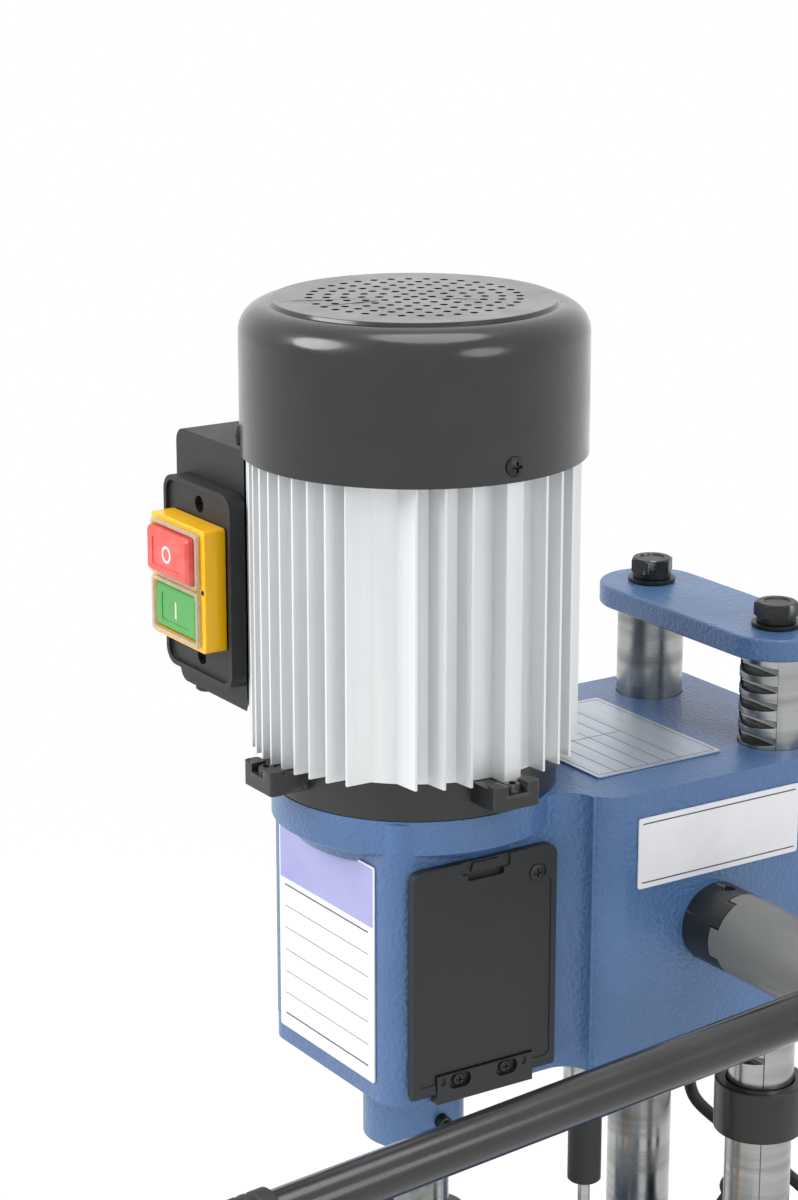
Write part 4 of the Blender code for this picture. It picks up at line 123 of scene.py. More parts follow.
@dataclass(frozen=True)
class Finish:
    """One real material: its colours, gloss and the size of its grain in millimetres."""

    name: str
    slot: str
    colour: str
    shade: str
    roughness: float
    metallic: float = 0.0
    coat: float = 0.0
    coat_roughness: float = 0.1
    grain: float = 1.0
    relief: float = 0.1
    mottle: float = 30.0
    mottle_low: float = 0.4
    mottle_high: float = 0.7
    stretch: Point3 = (1.0, 1.0, 1.0)
    gloss_spread: float = 0.06
    worn: str = ""
    wear_start: float = 0.56
    transmission: float = 0.0
    alpha: float = 1.0
    ior: float = 1.5

    def material(self) -> bpy.types.Material:
        """Return this finish as a material, made once.

        Returns:
            The material with its nodes.
        """
        known = bpy.data.materials.get(self.name)
        return known if known else self.build()

    def build(self) -> bpy.types.Material:
        """Build the node tree: mottled colour, grained gloss, relief and worn edges.

        Returns:
            The new material.
        """
        made = bpy.data.materials.new(self.name)
        made.use_nodes = True
        tree = made.node_tree
        tree.nodes.clear()
        place = add_node(tree, "ShaderNodeTexCoord").outputs["Object"]
        turned = add_node(tree, "ShaderNodeMapping", {"Scale": self.stretch}, {"Vector": place}).outputs[0]
        broad = add_node(
            tree, "ShaderNodeTexNoise", {"Scale": 1000 / self.mottle, "Detail": 4.0},
            {"Vector": turned}
        )
        fine = add_node(
            tree, "ShaderNodeTexNoise", {"Scale": 1000 / self.grain, "Detail": 3.0},
            {"Vector": turned}
        )
        spread = {"From Min": self.mottle_low, "From Max": self.mottle_high, "To Min": 0.0, "To Max": 1.0}
        amount = add_node(tree, "ShaderNodeMapRange", spread, {"Value": broad.outputs[0]}).outputs[0]
        colours = {"data_type": "RGBA", 6: linear(self.colour), 7: linear(self.shade)}
        colour = add_node(tree, "ShaderNodeMix", colours, {0: amount}).outputs[2]
        if self.worn:
            colour = self.wear(tree, colour, fine.outputs[0])
        low = max(self.roughness - self.gloss_spread, 0.02)
        gloss = {
            "From Min": 0.3, "From Max": 0.7, "To Min": low,
            "To Max": self.roughness + self.gloss_spread
        }
        rough = add_node(tree, "ShaderNodeMapRange", gloss, {"Value": broad.outputs[0]}).outputs[0]
        height = {"Strength": 1.0, "Distance": self.relief / 1000}
        bump = add_node(tree, "ShaderNodeBump", height, {"Height": fine.outputs[0]}).outputs[0]
        fixed = {
            "Metallic": self.metallic, "Coat Weight": self.coat, "Coat Roughness": self.coat_roughness,
            "Transmission Weight": self.transmission, "Alpha": self.alpha, "IOR": self.ior,
        }
        linked = {"Base Color": colour, "Roughness": rough, "Normal": bump}
        shader = add_node(tree, "ShaderNodeBsdfPrincipled", fixed, linked)
        add_node(tree, "ShaderNodeOutputMaterial", None, {"Surface": shader.outputs[0]})
        return made

    def wear(
        self, tree: bpy.types.NodeTree, colour: bpy.types.NodeSocket, grain: bpy.types.NodeSocket
    ) -> bpy.types.NodeSocket:
        """Lay the worn colour along outer edges, broken up by the grain.

        Args:
            tree: The material's node tree.
            colour: Socket with the unworn colour.
            grain: Socket with the fine noise.

        Returns:
            Socket with the mixed colour.
        """
        edge = add_node(tree, "ShaderNodeNewGeometry").outputs["Pointiness"]
        broken = add_node(
            tree, "ShaderNodeMath", {"operation": "MULTIPLY_ADD", 1: 0.10, 2: -0.05}, {0: grain}
        ).outputs[0]
        total = add_node(tree, "ShaderNodeMath", {"operation": "ADD"}, {0: edge, 1: broken}).outputs[0]
        limits = {"From Min": self.wear_start, "From Max": self.wear_start + 0.06}
        amount = add_node(tree, "ShaderNodeMapRange", limits, {"Value": total}).outputs[0]
        mix = {"data_type": "RGBA", 7: linear(self.worn)}
        return add_node(tree, "ShaderNodeMix", mix, {0: amount, 6: colour}).outputs[2]


# Enamel sprayed on sand-cast iron: the casting's pits show through a glossy skin.
ENAMEL = Finish(
    "cast_iron_enamel", "blue", "#4A6E9F", "#446792", 0.36, coat=0.30, coat_roughness=0.22,
    grain=1.9, relief=0.95, mottle=45
)
# Gloss black lacquer on the turned lever bar: deep black with a clear highlight.
LEVER_PAINT = Finish(
    "gloss_black_lacquer", "black_metal", "#171818", "#1E1F1F", 0.22, coat=0.4, coat_roughness=0.12,
    grain=2.4, relief=0.04, mottle=40, worn="#3A3A39", wear_start=0.62
)
# Black paint on cast or turned steel: satin, with bare steel on rubbed corners.
BLACK_PAINT = Finish(
    "satin_black_paint", "black_metal", "#1B1C1C", "#232424", 0.36, coat=0.2, grain=1.6,
    relief=0.12, mottle=25, worn="#4C4C4A", wear_start=0.60
)
# Deep-drawn sheet, sprayed gloss black: smooth, with a slight orange peel.
COWL_PAINT = Finish(
    "gloss_black_pressing", "black_metal", "#0E0F10", "#131415", 0.24, coat=0.45,
    coat_roughness=0.12, grain=3.2, relief=0.05, mottle=18, gloss_spread=0.08
)
# Glass-filled nylon from a spark-eroded mould: an even fine grain with low gloss.
NYLON = Finish(
    "moulded_black_nylon", "black_plastic", "#1B1D1F", "#212325", 0.50, grain=0.7, relief=0.07,
    mottle=20
)
# Blackened steel: dark, with bare metal where tools and hands rub.
BLACK_OXIDE = Finish(
    "black_oxide_steel", "black_oxide", "#2E2F2E", "#3A3B39", 0.36, metallic=0.75, grain=0.9,
    relief=0.06, mottle=6, worn="#8A8B88", wear_start=0.58
)
# Phosphated steel, machined round: grey black with a soft sheen.
PHOSPHATE = Finish(
    "phosphated_steel", "black_oxide", "#1E201F", "#272928", 0.42, metallic=0.15, coat=0.15,
    grain=0.9, relief=0.05, mottle=9, worn="#6F716F", wear_start=0.60
)
# Extruded aluminium, bead blasted: pale and matt, with faint draw lines along the extrusion.
EXTRUDED = Finish(
    "blasted_extruded_aluminium", "aluminium", "#E8EAEB", "#DADDDF", 0.42, metallic=0.30, grain=0.8,
    relief=0.05, mottle=14, stretch=(1.0, 1.0, 0.06)
)
# Die-cast aluminium, tumbled: pale with a fine orange peel.
DIE_CAST = Finish(
    "die_cast_aluminium", "aluminium", "#C9CCCE", "#B6B9BB", 0.45, metallic=0.7, grain=0.9,
    relief=0.08, mottle=9
)
# Centreless-ground steel bar: bands of grinding lines around the bar.
GROUND = Finish(
    "ground_steel_bar", "ground_steel", "#A9ABA8", "#8B8D8A", 0.27, metallic=1.0, grain=1.4,
    relief=0.035, mottle=26, stretch=(0.25, 0.25, 4.0), gloss_spread=0.08
)
# Turned free-cutting steel: bright, with lathe lines.
TURNED = Finish(
    "turned_bright_steel", "bright_steel", "#B4B5B5", "#9EA0A0", 0.24, metallic=1.0, grain=0.7,
    relief=0.03, mottle=12, stretch=(0.5, 0.5, 3.0)
)
# Hardened tool steel, ground and oiled: grey with fine scratches.
TOOL = Finish(
    "hardened_tool_steel", "tool_steel", "#8C8D8C", "#727372", 0.30, metallic=1.0, grain=0.6,
    relief=0.04, mottle=7
)
# Stacked silicon steel sheets: edges show as fine level lines.
LAMINATED = Finish(
    "silicon_steel_stack", "lamination", "#7B7C7F", "#5E5F62", 0.50, metallic=0.8, grain=0.9,
    relief=0.10, mottle=6, stretch=(0.1, 0.1, 5.0)
)
# Acrylonitrile plastic in safety yellow: glossy and even.
YELLOW = Finish(
    "yellow_abs", "yellow", "#FFC20A", "#F7B800", 0.30, coat=0.3, grain=1.5, relief=0.02, mottle=15
)
# Tinted polycarbonate lens: red, dulled by dust.
RED = Finish(
    "red_polycarbonate", "red", "#DD4A42", "#E2665F", 0.30, coat=0.3, grain=1.2, relief=0.03,
    mottle=8
)
# Tinted polycarbonate lens: green, dulled by dust.
GREEN = Finish(
    "green_polycarbonate", "green", "#3F9C3F", "#4BA64B", 0.30, coat=0.3, grain=1.2, relief=0.03,
    mottle=8
)
# Clear flexible PVC: a milky, glossy frame over the buttons.
CLEAR = Finish(
    "milky_clear_pvc", "clear", "#D8CBB8", "#C9BBA8", 0.18, grain=1.5, relief=0.02, mottle=6,
    alpha=0.55
)
# Printed vinyl sheet: white, smooth, with a slight gloss.
VINYL = Finish(
    "white_vinyl", "label", "#ECECF0", "#E4E5EA", 0.35, coat=0.2, grain=2.0, relief=0.02, mottle=20
)
# The same vinyl, printed lilac.
LILAC = Finish(
    "lilac_print", "label", "#A3A5D6", "#9A9CD0", 0.35, coat=0.2, grain=2.0, relief=0.02, mottle=20
)
# The same vinyl, printed dark blue-grey: ruled lines and marks.
PRINT = Finish("dark_print", "label", "#4A4E63", "#545870", 0.40, grain=2.0, relief=0.01, mottle=10)
# Anodised aluminium sheet: pale grey with a brushed grain.
ANODISED = Finish(
    "brushed_anodised_sheet", "aluminium", "#C6CCD6", "#BAC1CC", 0.34, metallic=0.6, grain=0.7,
    relief=0.02, mottle=12, stretch=(0.1, 3.0, 1.0)
)
# Sealed beech plywood: warm, with long grain across the table.
PLYWOOD = Finish(
    "sealed_beech_plywood", "board", "#C49A6B", "#A97F52", 0.45, coat=0.25, grain=1.6, relief=0.08,
    mottle=22, mottle_low=0.35, mottle_high=0.65, stretch=(0.12, 2.2, 2.2)
)
# Synthetic rubber, moulded: matt black with a bloom of grey.
RUBBER = Finish("moulded_rubber", "rubber", "#1E1E1F", "#292929", 0.62, grain=1.0, relief=0.05, mottle=16)
# Bright nickel on brass pins.
NICKEL = Finish(
    "nickel_plate", "bright_steel", "#C8C5BC", "#B9B6AD", 0.20, metallic=1.0, grain=1.0,
    relief=0.02, mottle=6
)
# White ink on the buttons.
WHITE_INK = Finish("white_ink", "label", "#F0E4DC", "#E6D8CE", 0.45, grain=1.0, relief=0.01, mottle=4)


class Pattern(Enum):
    """How a repeated piece is laid out."""

    ROW = "row"
    RING = "ring"


def arc(centre: Point2, radius: float, start: float, end: float, steps: int = 8) -> list[Point2]:
    """Points on a circle's arc.

    Args:
        centre: Centre of the circle.
        radius: Its radius in millimetres.
        start: First angle in degrees.
        end: Last angle in degrees.
        steps: Number of stretches.

    Returns:
        The points from start to end.
    """
    turns = [math.radians(start + (end - start) * k / steps) for k in range(steps + 1)]
    return [(centre[0] + radius * math.cos(t), centre[1] + radius * math.sin(t)) for t in turns]


def rounded(x: Point2, y: Point2, radius: float, steps: int = 8) -> list[Point2]:
    """Outline of a rectangle with round corners.

    Args:
        x: Its two ends across.
        y: Its two ends along.
        radius: Corner radius.
        steps: Stretches in each corner.

    Returns:
        The outline, anticlockwise.
    """
    (x0, x1), (y0, y1) = x, y
    points = arc((x1 - radius, y0 + radius), radius, -90, 0, steps)
    points += arc((x1 - radius, y1 - radius), radius, 0, 90, steps)
    points += arc((x0 + radius, y1 - radius), radius, 90, 180, steps)
    points += arc((x0 + radius, y0 + radius), radius, 180, 270, steps)
    return points


class Shape:
    """A closed mesh in millimetres that can be moved, joined, cut and softened."""

    def __init__(self, mesh: bpy.types.Mesh) -> None:
        """Wrap a mesh in a working object."""
        self.obj = bpy.data.objects.new("shape", mesh)
        bpy.context.scene.collection.objects.link(self.obj)

    @classmethod
    def of(cls, build: bmesh.types.BMesh) -> "Shape":
        """Close a bmesh, turn its faces outwards and wrap it.

        Args:
            build: The bmesh, which is freed.

        Returns:
            The shape.
        """
        bmesh.ops.remove_doubles(build, verts=build.verts, dist=1e-4)
        bmesh.ops.recalc_face_normals(build, faces=build.faces)
        mesh = bpy.data.meshes.new("shape")
        build.to_mesh(mesh)
        build.free()
        return cls(mesh)

    @classmethod
    def prism(cls, outline: Sequence[Point2], low: float, high: float) -> "Shape":
        """Extrude an (x, y) outline between two heights.

        Args:
            outline: Points in order.
            low: Lower height.
            high: Upper height.

        Returns:
            The shape.
        """
        build = bmesh.new()
        floor = [build.verts.new((x, y, low)) for x, y in outline]
        roof = [build.verts.new((x, y, high)) for x, y in outline]
        build.faces.new(floor[::-1])
        build.faces.new(roof)
        for k in range(len(outline)):
            after = (k + 1) % len(outline)
            build.faces.new((floor[k], floor[after], roof[after], roof[k]))
        return cls.of(build)

    @classmethod
    def block(cls, x: Point2, y: Point2, z: Point2) -> "Shape":
        """Build a plain block between its limits, to cut or join with."""
        return cls.prism([(x[0], y[0]), (x[1], y[0]), (x[1], y[1]), (x[0], y[1])], *z)

    @classmethod
    def lathe(cls, profile: Sequence[Point2], sides: int = 72) -> "Shape":
        """Turn an (r, z) profile about Z; it closes on the axis or on itself.

        Args:
            profile: Points in order.
            sides: Sides of the round.

        Returns:
            The shape.
        """
        build = bmesh.new()
        rings = []
        for radius, height in profile:
            count = sides if radius > 1e-6 else 1
            turns = [math.tau * k / sides for k in range(count)]
            rings.append(
                [build.verts.new((radius * math.cos(t), radius * math.sin(t), height)) for t in turns]
            )
        for first, second in zip(rings, rings[1:] + rings[:1]):
            if len(first) == len(second) == 1:
                continue
            for k in range(sides):
                after = (k + 1) % sides
                corners = [first[k % len(first)], first[after % len(first)]]
                corners += [second[after % len(second)], second[k % len(second)]]
                build.faces.new(list(dict.fromkeys(corners)))
        return cls.of(build)

    @classmethod
    def rod(cls, radius: float, low: float, high: float, sides: int = 48) -> "Shape":
        """Build a round bar along Z."""
        return cls.lathe([(0, low), (radius, low), (radius, high), (0, high)], sides)

    @classmethod
    def loft(cls, rings: Sequence[Sequence[Point3]]) -> "Shape":
        """Skin a row of equal rings and cap both ends.

        Args:
            rings: Rings of points, each with the same count.

        Returns:
            The shape.
        """
        build = bmesh.new()
        made = [[build.verts.new(p) for p in ring] for ring in rings]
        count = len(made[0])
        for first, second in zip(made, made[1:]):
            for k in range(count):
                after = (k + 1) % count
                build.faces.new((first[k], first[after], second[after], second[k]))
        build.faces.new(made[0][::-1])
        build.faces.new(made[-1])
        return cls.of(build)

    def turn(self, axis: str, degrees: float) -> "Shape":
        """Turn the shape about an axis through zero and return it."""
        self.obj.data.transform(Matrix.Rotation(math.radians(degrees), 4, axis))
        return self

    def move(self, x: float = 0, y: float = 0, z: float = 0) -> "Shape":
        """Move the shape and return it."""
        self.obj.data.transform(Matrix.Translation((x, y, z)))
        return self

    def mirror(self) -> "Shape":
        """Swap the shape to the other side of the YZ plane and return it."""
        self.obj.data.transform(Matrix.Scale(-1, 4, (1, 0, 0)))
        self.obj.data.flip_normals()
        return self

    def copy(self) -> "Shape":
        """Return a copy of the shape."""
        return Shape(self.obj.data.copy())

    def settle(self) -> None:
        """Turn the working object's modifiers into plain mesh."""
        bpy.context.view_layer.update()
        graph = bpy.context.evaluated_depsgraph_get()
        mesh = bpy.data.meshes.new_from_object(self.obj.evaluated_get(graph), depsgraph=graph)
        self.obj.modifiers.clear()
        self.obj.data = mesh

    def combine(self, others: Iterable["Shape"], operation: str) -> "Shape":
        """Join, cut or clip with other shapes, which are used up.

        Args:
            others: The other shapes.
            operation: UNION, DIFFERENCE or INTERSECT.

        Returns:
            This shape.
        """
        used = list(others)
        for other in used:
            modifier = self.obj.modifiers.new("combine", "BOOLEAN")
            modifier.object = other.obj
            modifier.operation = operation
            modifier.solver = "EXACT"
        self.settle()
        for other in used:
            bpy.data.objects.remove(other.obj)
        return self

    def unite(self, *others: "Shape") -> "Shape":
        """Join other shapes to this one and return it."""
        return self.combine(others, "UNION")

    def carve(self, *others: "Shape") -> "Shape":
        """Cut other shapes out of this one and return it."""
        return self.combine(others, "DIFFERENCE")

    def clip(self, *others: "Shape") -> "Shape":
        """Keep what is inside the other shapes and return it."""
        return self.combine(others, "INTERSECT")

    def soften(self, width: float, segments: int = 3, angle: float = 30) -> "Shape":
        """Round the edges that are sharper than an angle.

        Args:
            width: Width of the rounding in millimetres.
            segments: Faces across it.
            angle: Least angle in degrees.

        Returns:
            This shape.
        """
        modifier = self.obj.modifiers.new("soften", "BEVEL")
        modifier.width = width
        modifier.segments = segments
        modifier.limit_method = "ANGLE"
        modifier.angle_limit = math.radians(angle)
        modifier.use_clamp_overlap = True
        self.settle()
        return self

    def gather(self, *others: "Shape") -> "Shape":
        """Put other shapes in the same mesh, with their finishes, without joining them.

        Args:
            others: The other shapes, which are used up.

        Returns:
            This shape.
        """
        mesh = self.obj.data
        build = bmesh.new()
        build.from_mesh(mesh)
        for other in others:
            slots = []
            for paint in other.obj.data.materials:
                known = [m.name if m else "" for m in mesh.materials]
                if paint is None:
                    slots.append(0)
                    continue
                if paint.name not in known:
                    mesh.materials.append(paint)
                    known.append(paint.name)
                slots.append(known.index(paint.name))
            start = len(build.faces)
            build.from_mesh(other.obj.data)
            build.faces.ensure_lookup_table()
            for face in build.faces[start:]:
                face.material_index = slots[face.material_index] if slots else 0
        build.to_mesh(mesh)
        build.free()
        for other in others:
            bpy.data.objects.remove(other.obj)
        return self

    def paint(self, finish: Finish) -> "Shape":
        """Give the whole shape one finish and return it."""
        mesh = self.obj.data
        mesh.materials.clear()
        mesh.materials.append(finish.material())
        mesh.polygons.foreach_set("material_index", [0] * len(mesh.polygons))
        return self

    def dress(
        self, name: str, body: str, finish: Finish, nodes: Sequence[str] = (), sharp: float = 34
    ) -> bpy.types.Object:
        """Finish the piece: metres, shading, material, body and the solids that it stands for.

        Args:
            name: The piece's name.
            body: The CAD body that it rides on.
            finish: Its finish, unless it is painted already.
            nodes: The CAD nodes that it replaces.
            sharp: Least angle of an edge that stays sharp, in degrees.

        Returns:
            The finished object.
        """
        if not any(self.obj.data.materials):
            self.paint(finish)
        mesh = self.obj.data
        mesh.transform(Matrix.Scale(0.001, 4))
        mesh.shade_smooth()
        mesh.set_sharp_from_angle(angle=math.radians(sharp))
        modifier = self.obj.modifiers.new("even", "WEIGHTED_NORMAL")
        modifier.keep_sharp = True
        self.settle()
        self.obj.name = name
        self.obj.data.name = name
        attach(self.obj, body)
        if nodes:
            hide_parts(*nodes)
        LOG.info("%s rides on %s", name, body)
        return self.obj


class Repeater:
    """Lays out copies of a piece in a row or a ring with Geometry Nodes."""

    def __init__(self, pattern: Pattern) -> None:
        """Build or find the node tree of one pattern."""
        self.pattern = pattern
        name = "repeat_in_a_" + pattern.value
        self.tree = bpy.data.node_groups.get(name) or self.build(name)

    def build(self, name: str) -> bpy.types.NodeTree:
        """Build the pattern's tree with named inputs.

        Args:
            name: Name of the new tree.

        Returns:
            The tree.
        """
        tree = bpy.data.node_groups.new(name, "GeometryNodeTree")
        face = tree.interface
        face.new_socket("Geometry", in_out="INPUT", socket_type="NodeSocketGeometry")
        face.new_socket("Piece", in_out="INPUT", socket_type="NodeSocketObject")
        face.new_socket("Count", in_out="INPUT", socket_type="NodeSocketInt")
        face.new_socket("Start", in_out="INPUT", socket_type="NodeSocketVector")
        face.new_socket("Step", in_out="INPUT", socket_type="NodeSocketVector")
        face.new_socket("Radius", in_out="INPUT", socket_type="NodeSocketFloat")
        face.new_socket("Finish", in_out="INPUT", socket_type="NodeSocketMaterial")
        face.new_socket("Geometry", in_out="OUTPUT", socket_type="NodeSocketGeometry")
        given = add_node(tree, "NodeGroupInput").outputs
        piece = add_node(tree, "GeometryNodeObjectInfo", None, {"Object": given["Piece"]}).outputs["Geometry"]
        feed = {"Instance": piece}
        if self.pattern is Pattern.ROW:
            links = {"Count": given["Count"], "Start Location": given["Start"], "Offset": given["Step"]}
            feed["Points"] = add_node(tree, "GeometryNodeMeshLine", {"mode": "OFFSET"}, links).outputs[0]
        else:
            links = {"Vertices": given["Count"], "Radius": given["Radius"]}
            circle = add_node(tree, "GeometryNodeMeshCircle", None, links).outputs[0]
            lift = {"Geometry": circle, "Translation": given["Start"]}
            feed["Points"] = add_node(tree, "GeometryNodeTransform", None, lift).outputs[0]
            index = add_node(tree, "GeometryNodeInputIndex").outputs[0]
            share = add_node(
                tree, "ShaderNodeMath", {"operation": "DIVIDE"}, {0: index, 1: given["Count"]}
            ).outputs[0]
            angle = add_node(
                tree, "ShaderNodeMath", {"operation": "MULTIPLY", 1: math.tau}, {0: share}
            ).outputs[0]
            feed["Rotation"] = add_node(tree, "ShaderNodeCombineXYZ", None, {"Z": angle}).outputs[0]
        copies = add_node(tree, "GeometryNodeInstanceOnPoints", None, feed).outputs[0]
        real = add_node(tree, "GeometryNodeRealizeInstances", None, {0: copies}).outputs[0]
        painted = add_node(
            tree, "GeometryNodeSetMaterial", None, {"Geometry": real, "Material": given["Finish"]}
        )
        add_node(tree, "NodeGroupOutput", None, {0: painted.outputs[0]})
        return tree

    def lay(
        self, piece: Shape, finish: Finish, count: int, start: Point3 = (0, 0, 0),
        step: Point3 = (0, 0, 0), radius: float = 0
    ) -> Shape:
        """Lay out copies of a piece, which is used up.

        Args:
            piece: The piece to repeat.
            finish: Material of the copies.
            count: Number of copies.
            start: Place of the first copy, or the ring's centre.
            step: Way from one copy to the next in a row.
            radius: Radius of the ring.

        Returns:
            One shape with all the copies.
        """
        made = Shape(bpy.data.meshes.new("copies"))
        modifier = made.obj.modifiers.new("repeat", "NODES")
        modifier.node_group = self.tree
        values = {
            "Piece": piece.obj, "Count": count, "Start": start, "Step": step,
            "Radius": float(radius), "Finish": finish.material(),
        }
        for item in self.tree.interface.items_tree:
            if item.in_out == "INPUT" and item.name in values:
                modifier[item.identifier] = values[item.name]
        made.settle()
        bpy.data.objects.remove(piece.obj)
        return made


def ring_of(piece: Shape, finish: Finish, count: int, radius: float, height: float = 0) -> Shape:
    """Repeat a piece in a ring about Z."""
    return Repeater(Pattern.RING).lay(piece, finish, count, (0, 0, height), radius=radius)


def row_of(piece: Shape, finish: Finish, count: int, start: Point3, step: Point3) -> Shape:
    """Repeat a piece in a straight row."""
    return Repeater(Pattern.ROW).lay(piece, finish, count, start, step)


def pan_screw(radius: float, height: float) -> Shape:
    """Build a cross-recess pan head that stands up along Z from zero.

    Args:
        radius: Radius of the head.
        height: Height of the head.

    Returns:
        The head.
    """
    crown = [
        (radius * math.cos(t), height * math.sin(t) ** 0.7)
        for t in [math.pi / 2 * k / 6 for k in range(1, 6)]
    ]
    head = Shape.lathe([(0, -0.4), (radius, -0.4), (radius, 0), *crown, (0, height)], 24)
    bar = Shape.block(
        (-radius * 0.55, radius * 0.55), (-radius * 0.12, radius * 0.12),
        (height * 0.35, height + 1)
    )
    cross = Shape.block(
        (-radius * 0.12, radius * 0.12), (-radius * 0.55, radius * 0.55),
        (height * 0.35, height + 1)
    )
    return head.carve(bar, cross)


def socket_screw(radius: float, height: float) -> Shape:
    """Build a hexagon-socket cap head that stands up along Z from zero.

    Args:
        radius: Radius of the head.
        height: Height of the head.

    Returns:
        The head.
    """
    bevel = radius * 0.12
    head = Shape.lathe(
        [(0, -0.2), (radius, -0.2), (radius, height - bevel), (radius - bevel, height), (0, height)],
        28
    )
    key = Shape.rod(radius * 0.52, height * 0.35, height + 1, 6)
    return head.carve(key)


@dataclass
class Base:
    """Cast base, table board, columns and the plate that ties them, in millimetres."""

    half: float = 135.0
    front: float = -140.0
    back: float = 232.0
    corner: float = 24.0
    height: float = 59.7
    socket_top: float = 88.0
    plate_low: float = 460.0
    plate_high: float = 470.0
    plate_round: float = 23.5
    slot_top: float = 453.1
    slots: int = 24
    pitch: float = 7.854

    def casting(self) -> None:
        """Build the hollow base with its ribs, bolt pillars and column sockets."""
        body = Shape.prism(
            rounded((-self.half, self.half), (self.front, self.back), self.corner), 0, self.height
        )
        cells = []
        for x in ((-126, -6), (6, 126)):
            for y in ((-131, -6), (6, 223)):
                cells.append(Shape.prism(rounded(x, y, 8, 5), -1, 49.7))
        body.carve(*cells)
        pillars = [Shape.rod(16, 0, 55, 32).move(x, y) for x in (-115, 115) for y in (-120, 212)]
        sockets = []
        for side in (-1, 1):
            sockets.append(Shape.rod(24, 0, self.socket_top, 64).move(side * COLUMN_X, COLUMN_Y))
            foot = arc((30, self.height + 6), 6, 180, 270, 5)
            flare = Shape.lathe(
                [(0, self.height - 1), *foot[::-1], (24, self.height + 6), (0, self.height + 6)], 64
            )
            sockets.append(flare.move(side * COLUMN_X, COLUMN_Y))
        body.unite(*pillars, *sockets)
        holes = [Shape.rod(5.5, -1, 61, 24).move(x, y) for x in (-115, 115) for y in (-120, 212)]
        bores = [Shape.rod(15.3, 8, 90, 64).move(side * COLUMN_X, COLUMN_Y) for side in (-1, 1)]
        body.carve(*holes, *bores, Shape.rod(3.05, 51.7, 61, 16).move(20, 78))
        body.soften(2.2, 3, 35).dress("base_iron", "frame", ENAMEL, ["base_casting"])

    def board(self) -> None:
        """Build the table board and its four countersunk screws."""
        places = [(x, y) for x in (-83, 83) for y in (-120, 52)]
        board = Shape.prism(rounded((-97, 97), (-134, 66), 6), self.height + GAP, TABLE_TOP)
        sinks = []
        for x, y in places:
            sinks.append(
                Shape.lathe([(0, 70), (2.8, 70), (2.8, 75.2), (5.4, 77.8), (5.4, 79), (0, 79)], 24).move(x, y)
            )
        board.carve(*sinks).soften(0.9, 3).dress("table_plywood", "frame", PLYWOOD, ["table_board"])
        for k, (x, y) in enumerate(places):
            head = Shape.lathe([(0, 60), (2.4, 60), (2.4, 75), (5.0, 77.5), (0, 77.5)], 24)
            slot = Shape.block((-0.6, 0.6), (-3, 3), (76.4, 79)).turn("Z", 20 + 35 * k)
            across = Shape.block((-3, 3), (-0.6, 0.6), (76.4, 79)).turn("Z", 20 + 35 * k)
            screw = head.carve(slot, across).move(x, y)
            screw.dress(f"board_screw_{k + 1}", "frame", BLACK_OXIDE)

    def columns(self) -> None:
        """Build the plain column and the one with the rack."""
        edge = [(15, 459.1), (14.4, 459.7)]
        profile = [(0, 8.3), (14, 8.3), (15, 9.3), *edge, (5.6, 459.7), (5.2, 438), (0, 437)]
        plain = Shape.lathe(profile, 96)
        rack = plain.copy()
        plain.move(-COLUMN_X, COLUMN_Y).dress("plain_bar", "frame", GROUND, ["plain_column"])
        outline = [(-17, -2.9), (-8.5, -1.3), (-8.5, 1.3), (-17, 2.9)]
        slot = Shape.prism([(-z, y) for y, z in outline], -17, 17).turn("Y", 90)
        step = (0, 0, -self.pitch)
        slots = row_of(slot, GROUND, self.slots, (0, 0, self.slot_top), step)
        rack.carve(slots).soften(0.35, 2, 25)
        rack.move(COLUMN_X, COLUMN_Y).dress("rack_bar", "frame", GROUND, ["rack_column"])

    def plate(self) -> None:
        """Build the plate across the columns' tops."""
        radius = self.plate_round
        outline = arc((COLUMN_X, COLUMN_Y), radius, -90, 90, 24)
        outline += arc((-COLUMN_X, COLUMN_Y), radius, 90, 270, 24)
        plate = Shape.prism(outline, self.plate_low, self.plate_high)
        plate.carve(*[Shape.rod(5.3, 450, 480, 32).move(side * COLUMN_X, COLUMN_Y) for side in (-1, 1)])
        plate.soften(1.3, 3).dress("tie_plate", "frame", ENAMEL, ["column_plate"])

    def bolts(self) -> None:
        """Build both hexagon bolts with their flat and spring washers."""
        for side, word in ((-1, "left"), (1, "right")):
            turn = 12 if side < 0 else -8
            low = self.plate_high + GAP
            washer = Shape.lathe([(5.3, low), (10.7, low), (10.7, low + 1.7), (5.3, low + 1.7)], 64)
            spring = Shape.lathe([(5.3, low + 1.8), (8.6, low + 1.8), (8.6, low + 4.3), (5.3, low + 4.3)], 64)
            spring.carve(Shape.block((4, 12), (-0.5, 0.5), (low + 1.7, low + 5)).turn("X", 8))
            seat = low + 4.4
            head = Shape.rod(9.81, seat, seat + 6.4, 6)
            crown = [
                (0, seat), (9.3, seat), (9.81, seat + 0.5), (9.81, seat + 5.4), (8.3, seat + 6.4),
                (0, seat + 6.4)
            ]
            head.clip(Shape.lathe(crown, 64))
            dish = Shape.lathe([(0, seat + 5.9), (5.6, seat + 5.9), (6.4, seat + 7), (0, seat + 7)], 48)
            shank = Shape.rod(5, 438.3, seat + 1, 32)
            whole = head.carve(dish).soften(0.3, 2, 25).gather(
                washer.soften(0.3, 2), spring.soften(0.25, 2), shank
            )
            whole.turn("Z", turn).move(side * COLUMN_X, COLUMN_Y)
            whole.dress(f"tie_bolt_{word}", "frame", BLACK_OXIDE, [f"plate_bolt_{word}"])

    def build(self) -> None:
        """Build the whole base and columns."""
        self.casting()
        self.board()
        self.columns()
        self.plate()
        self.bolts()


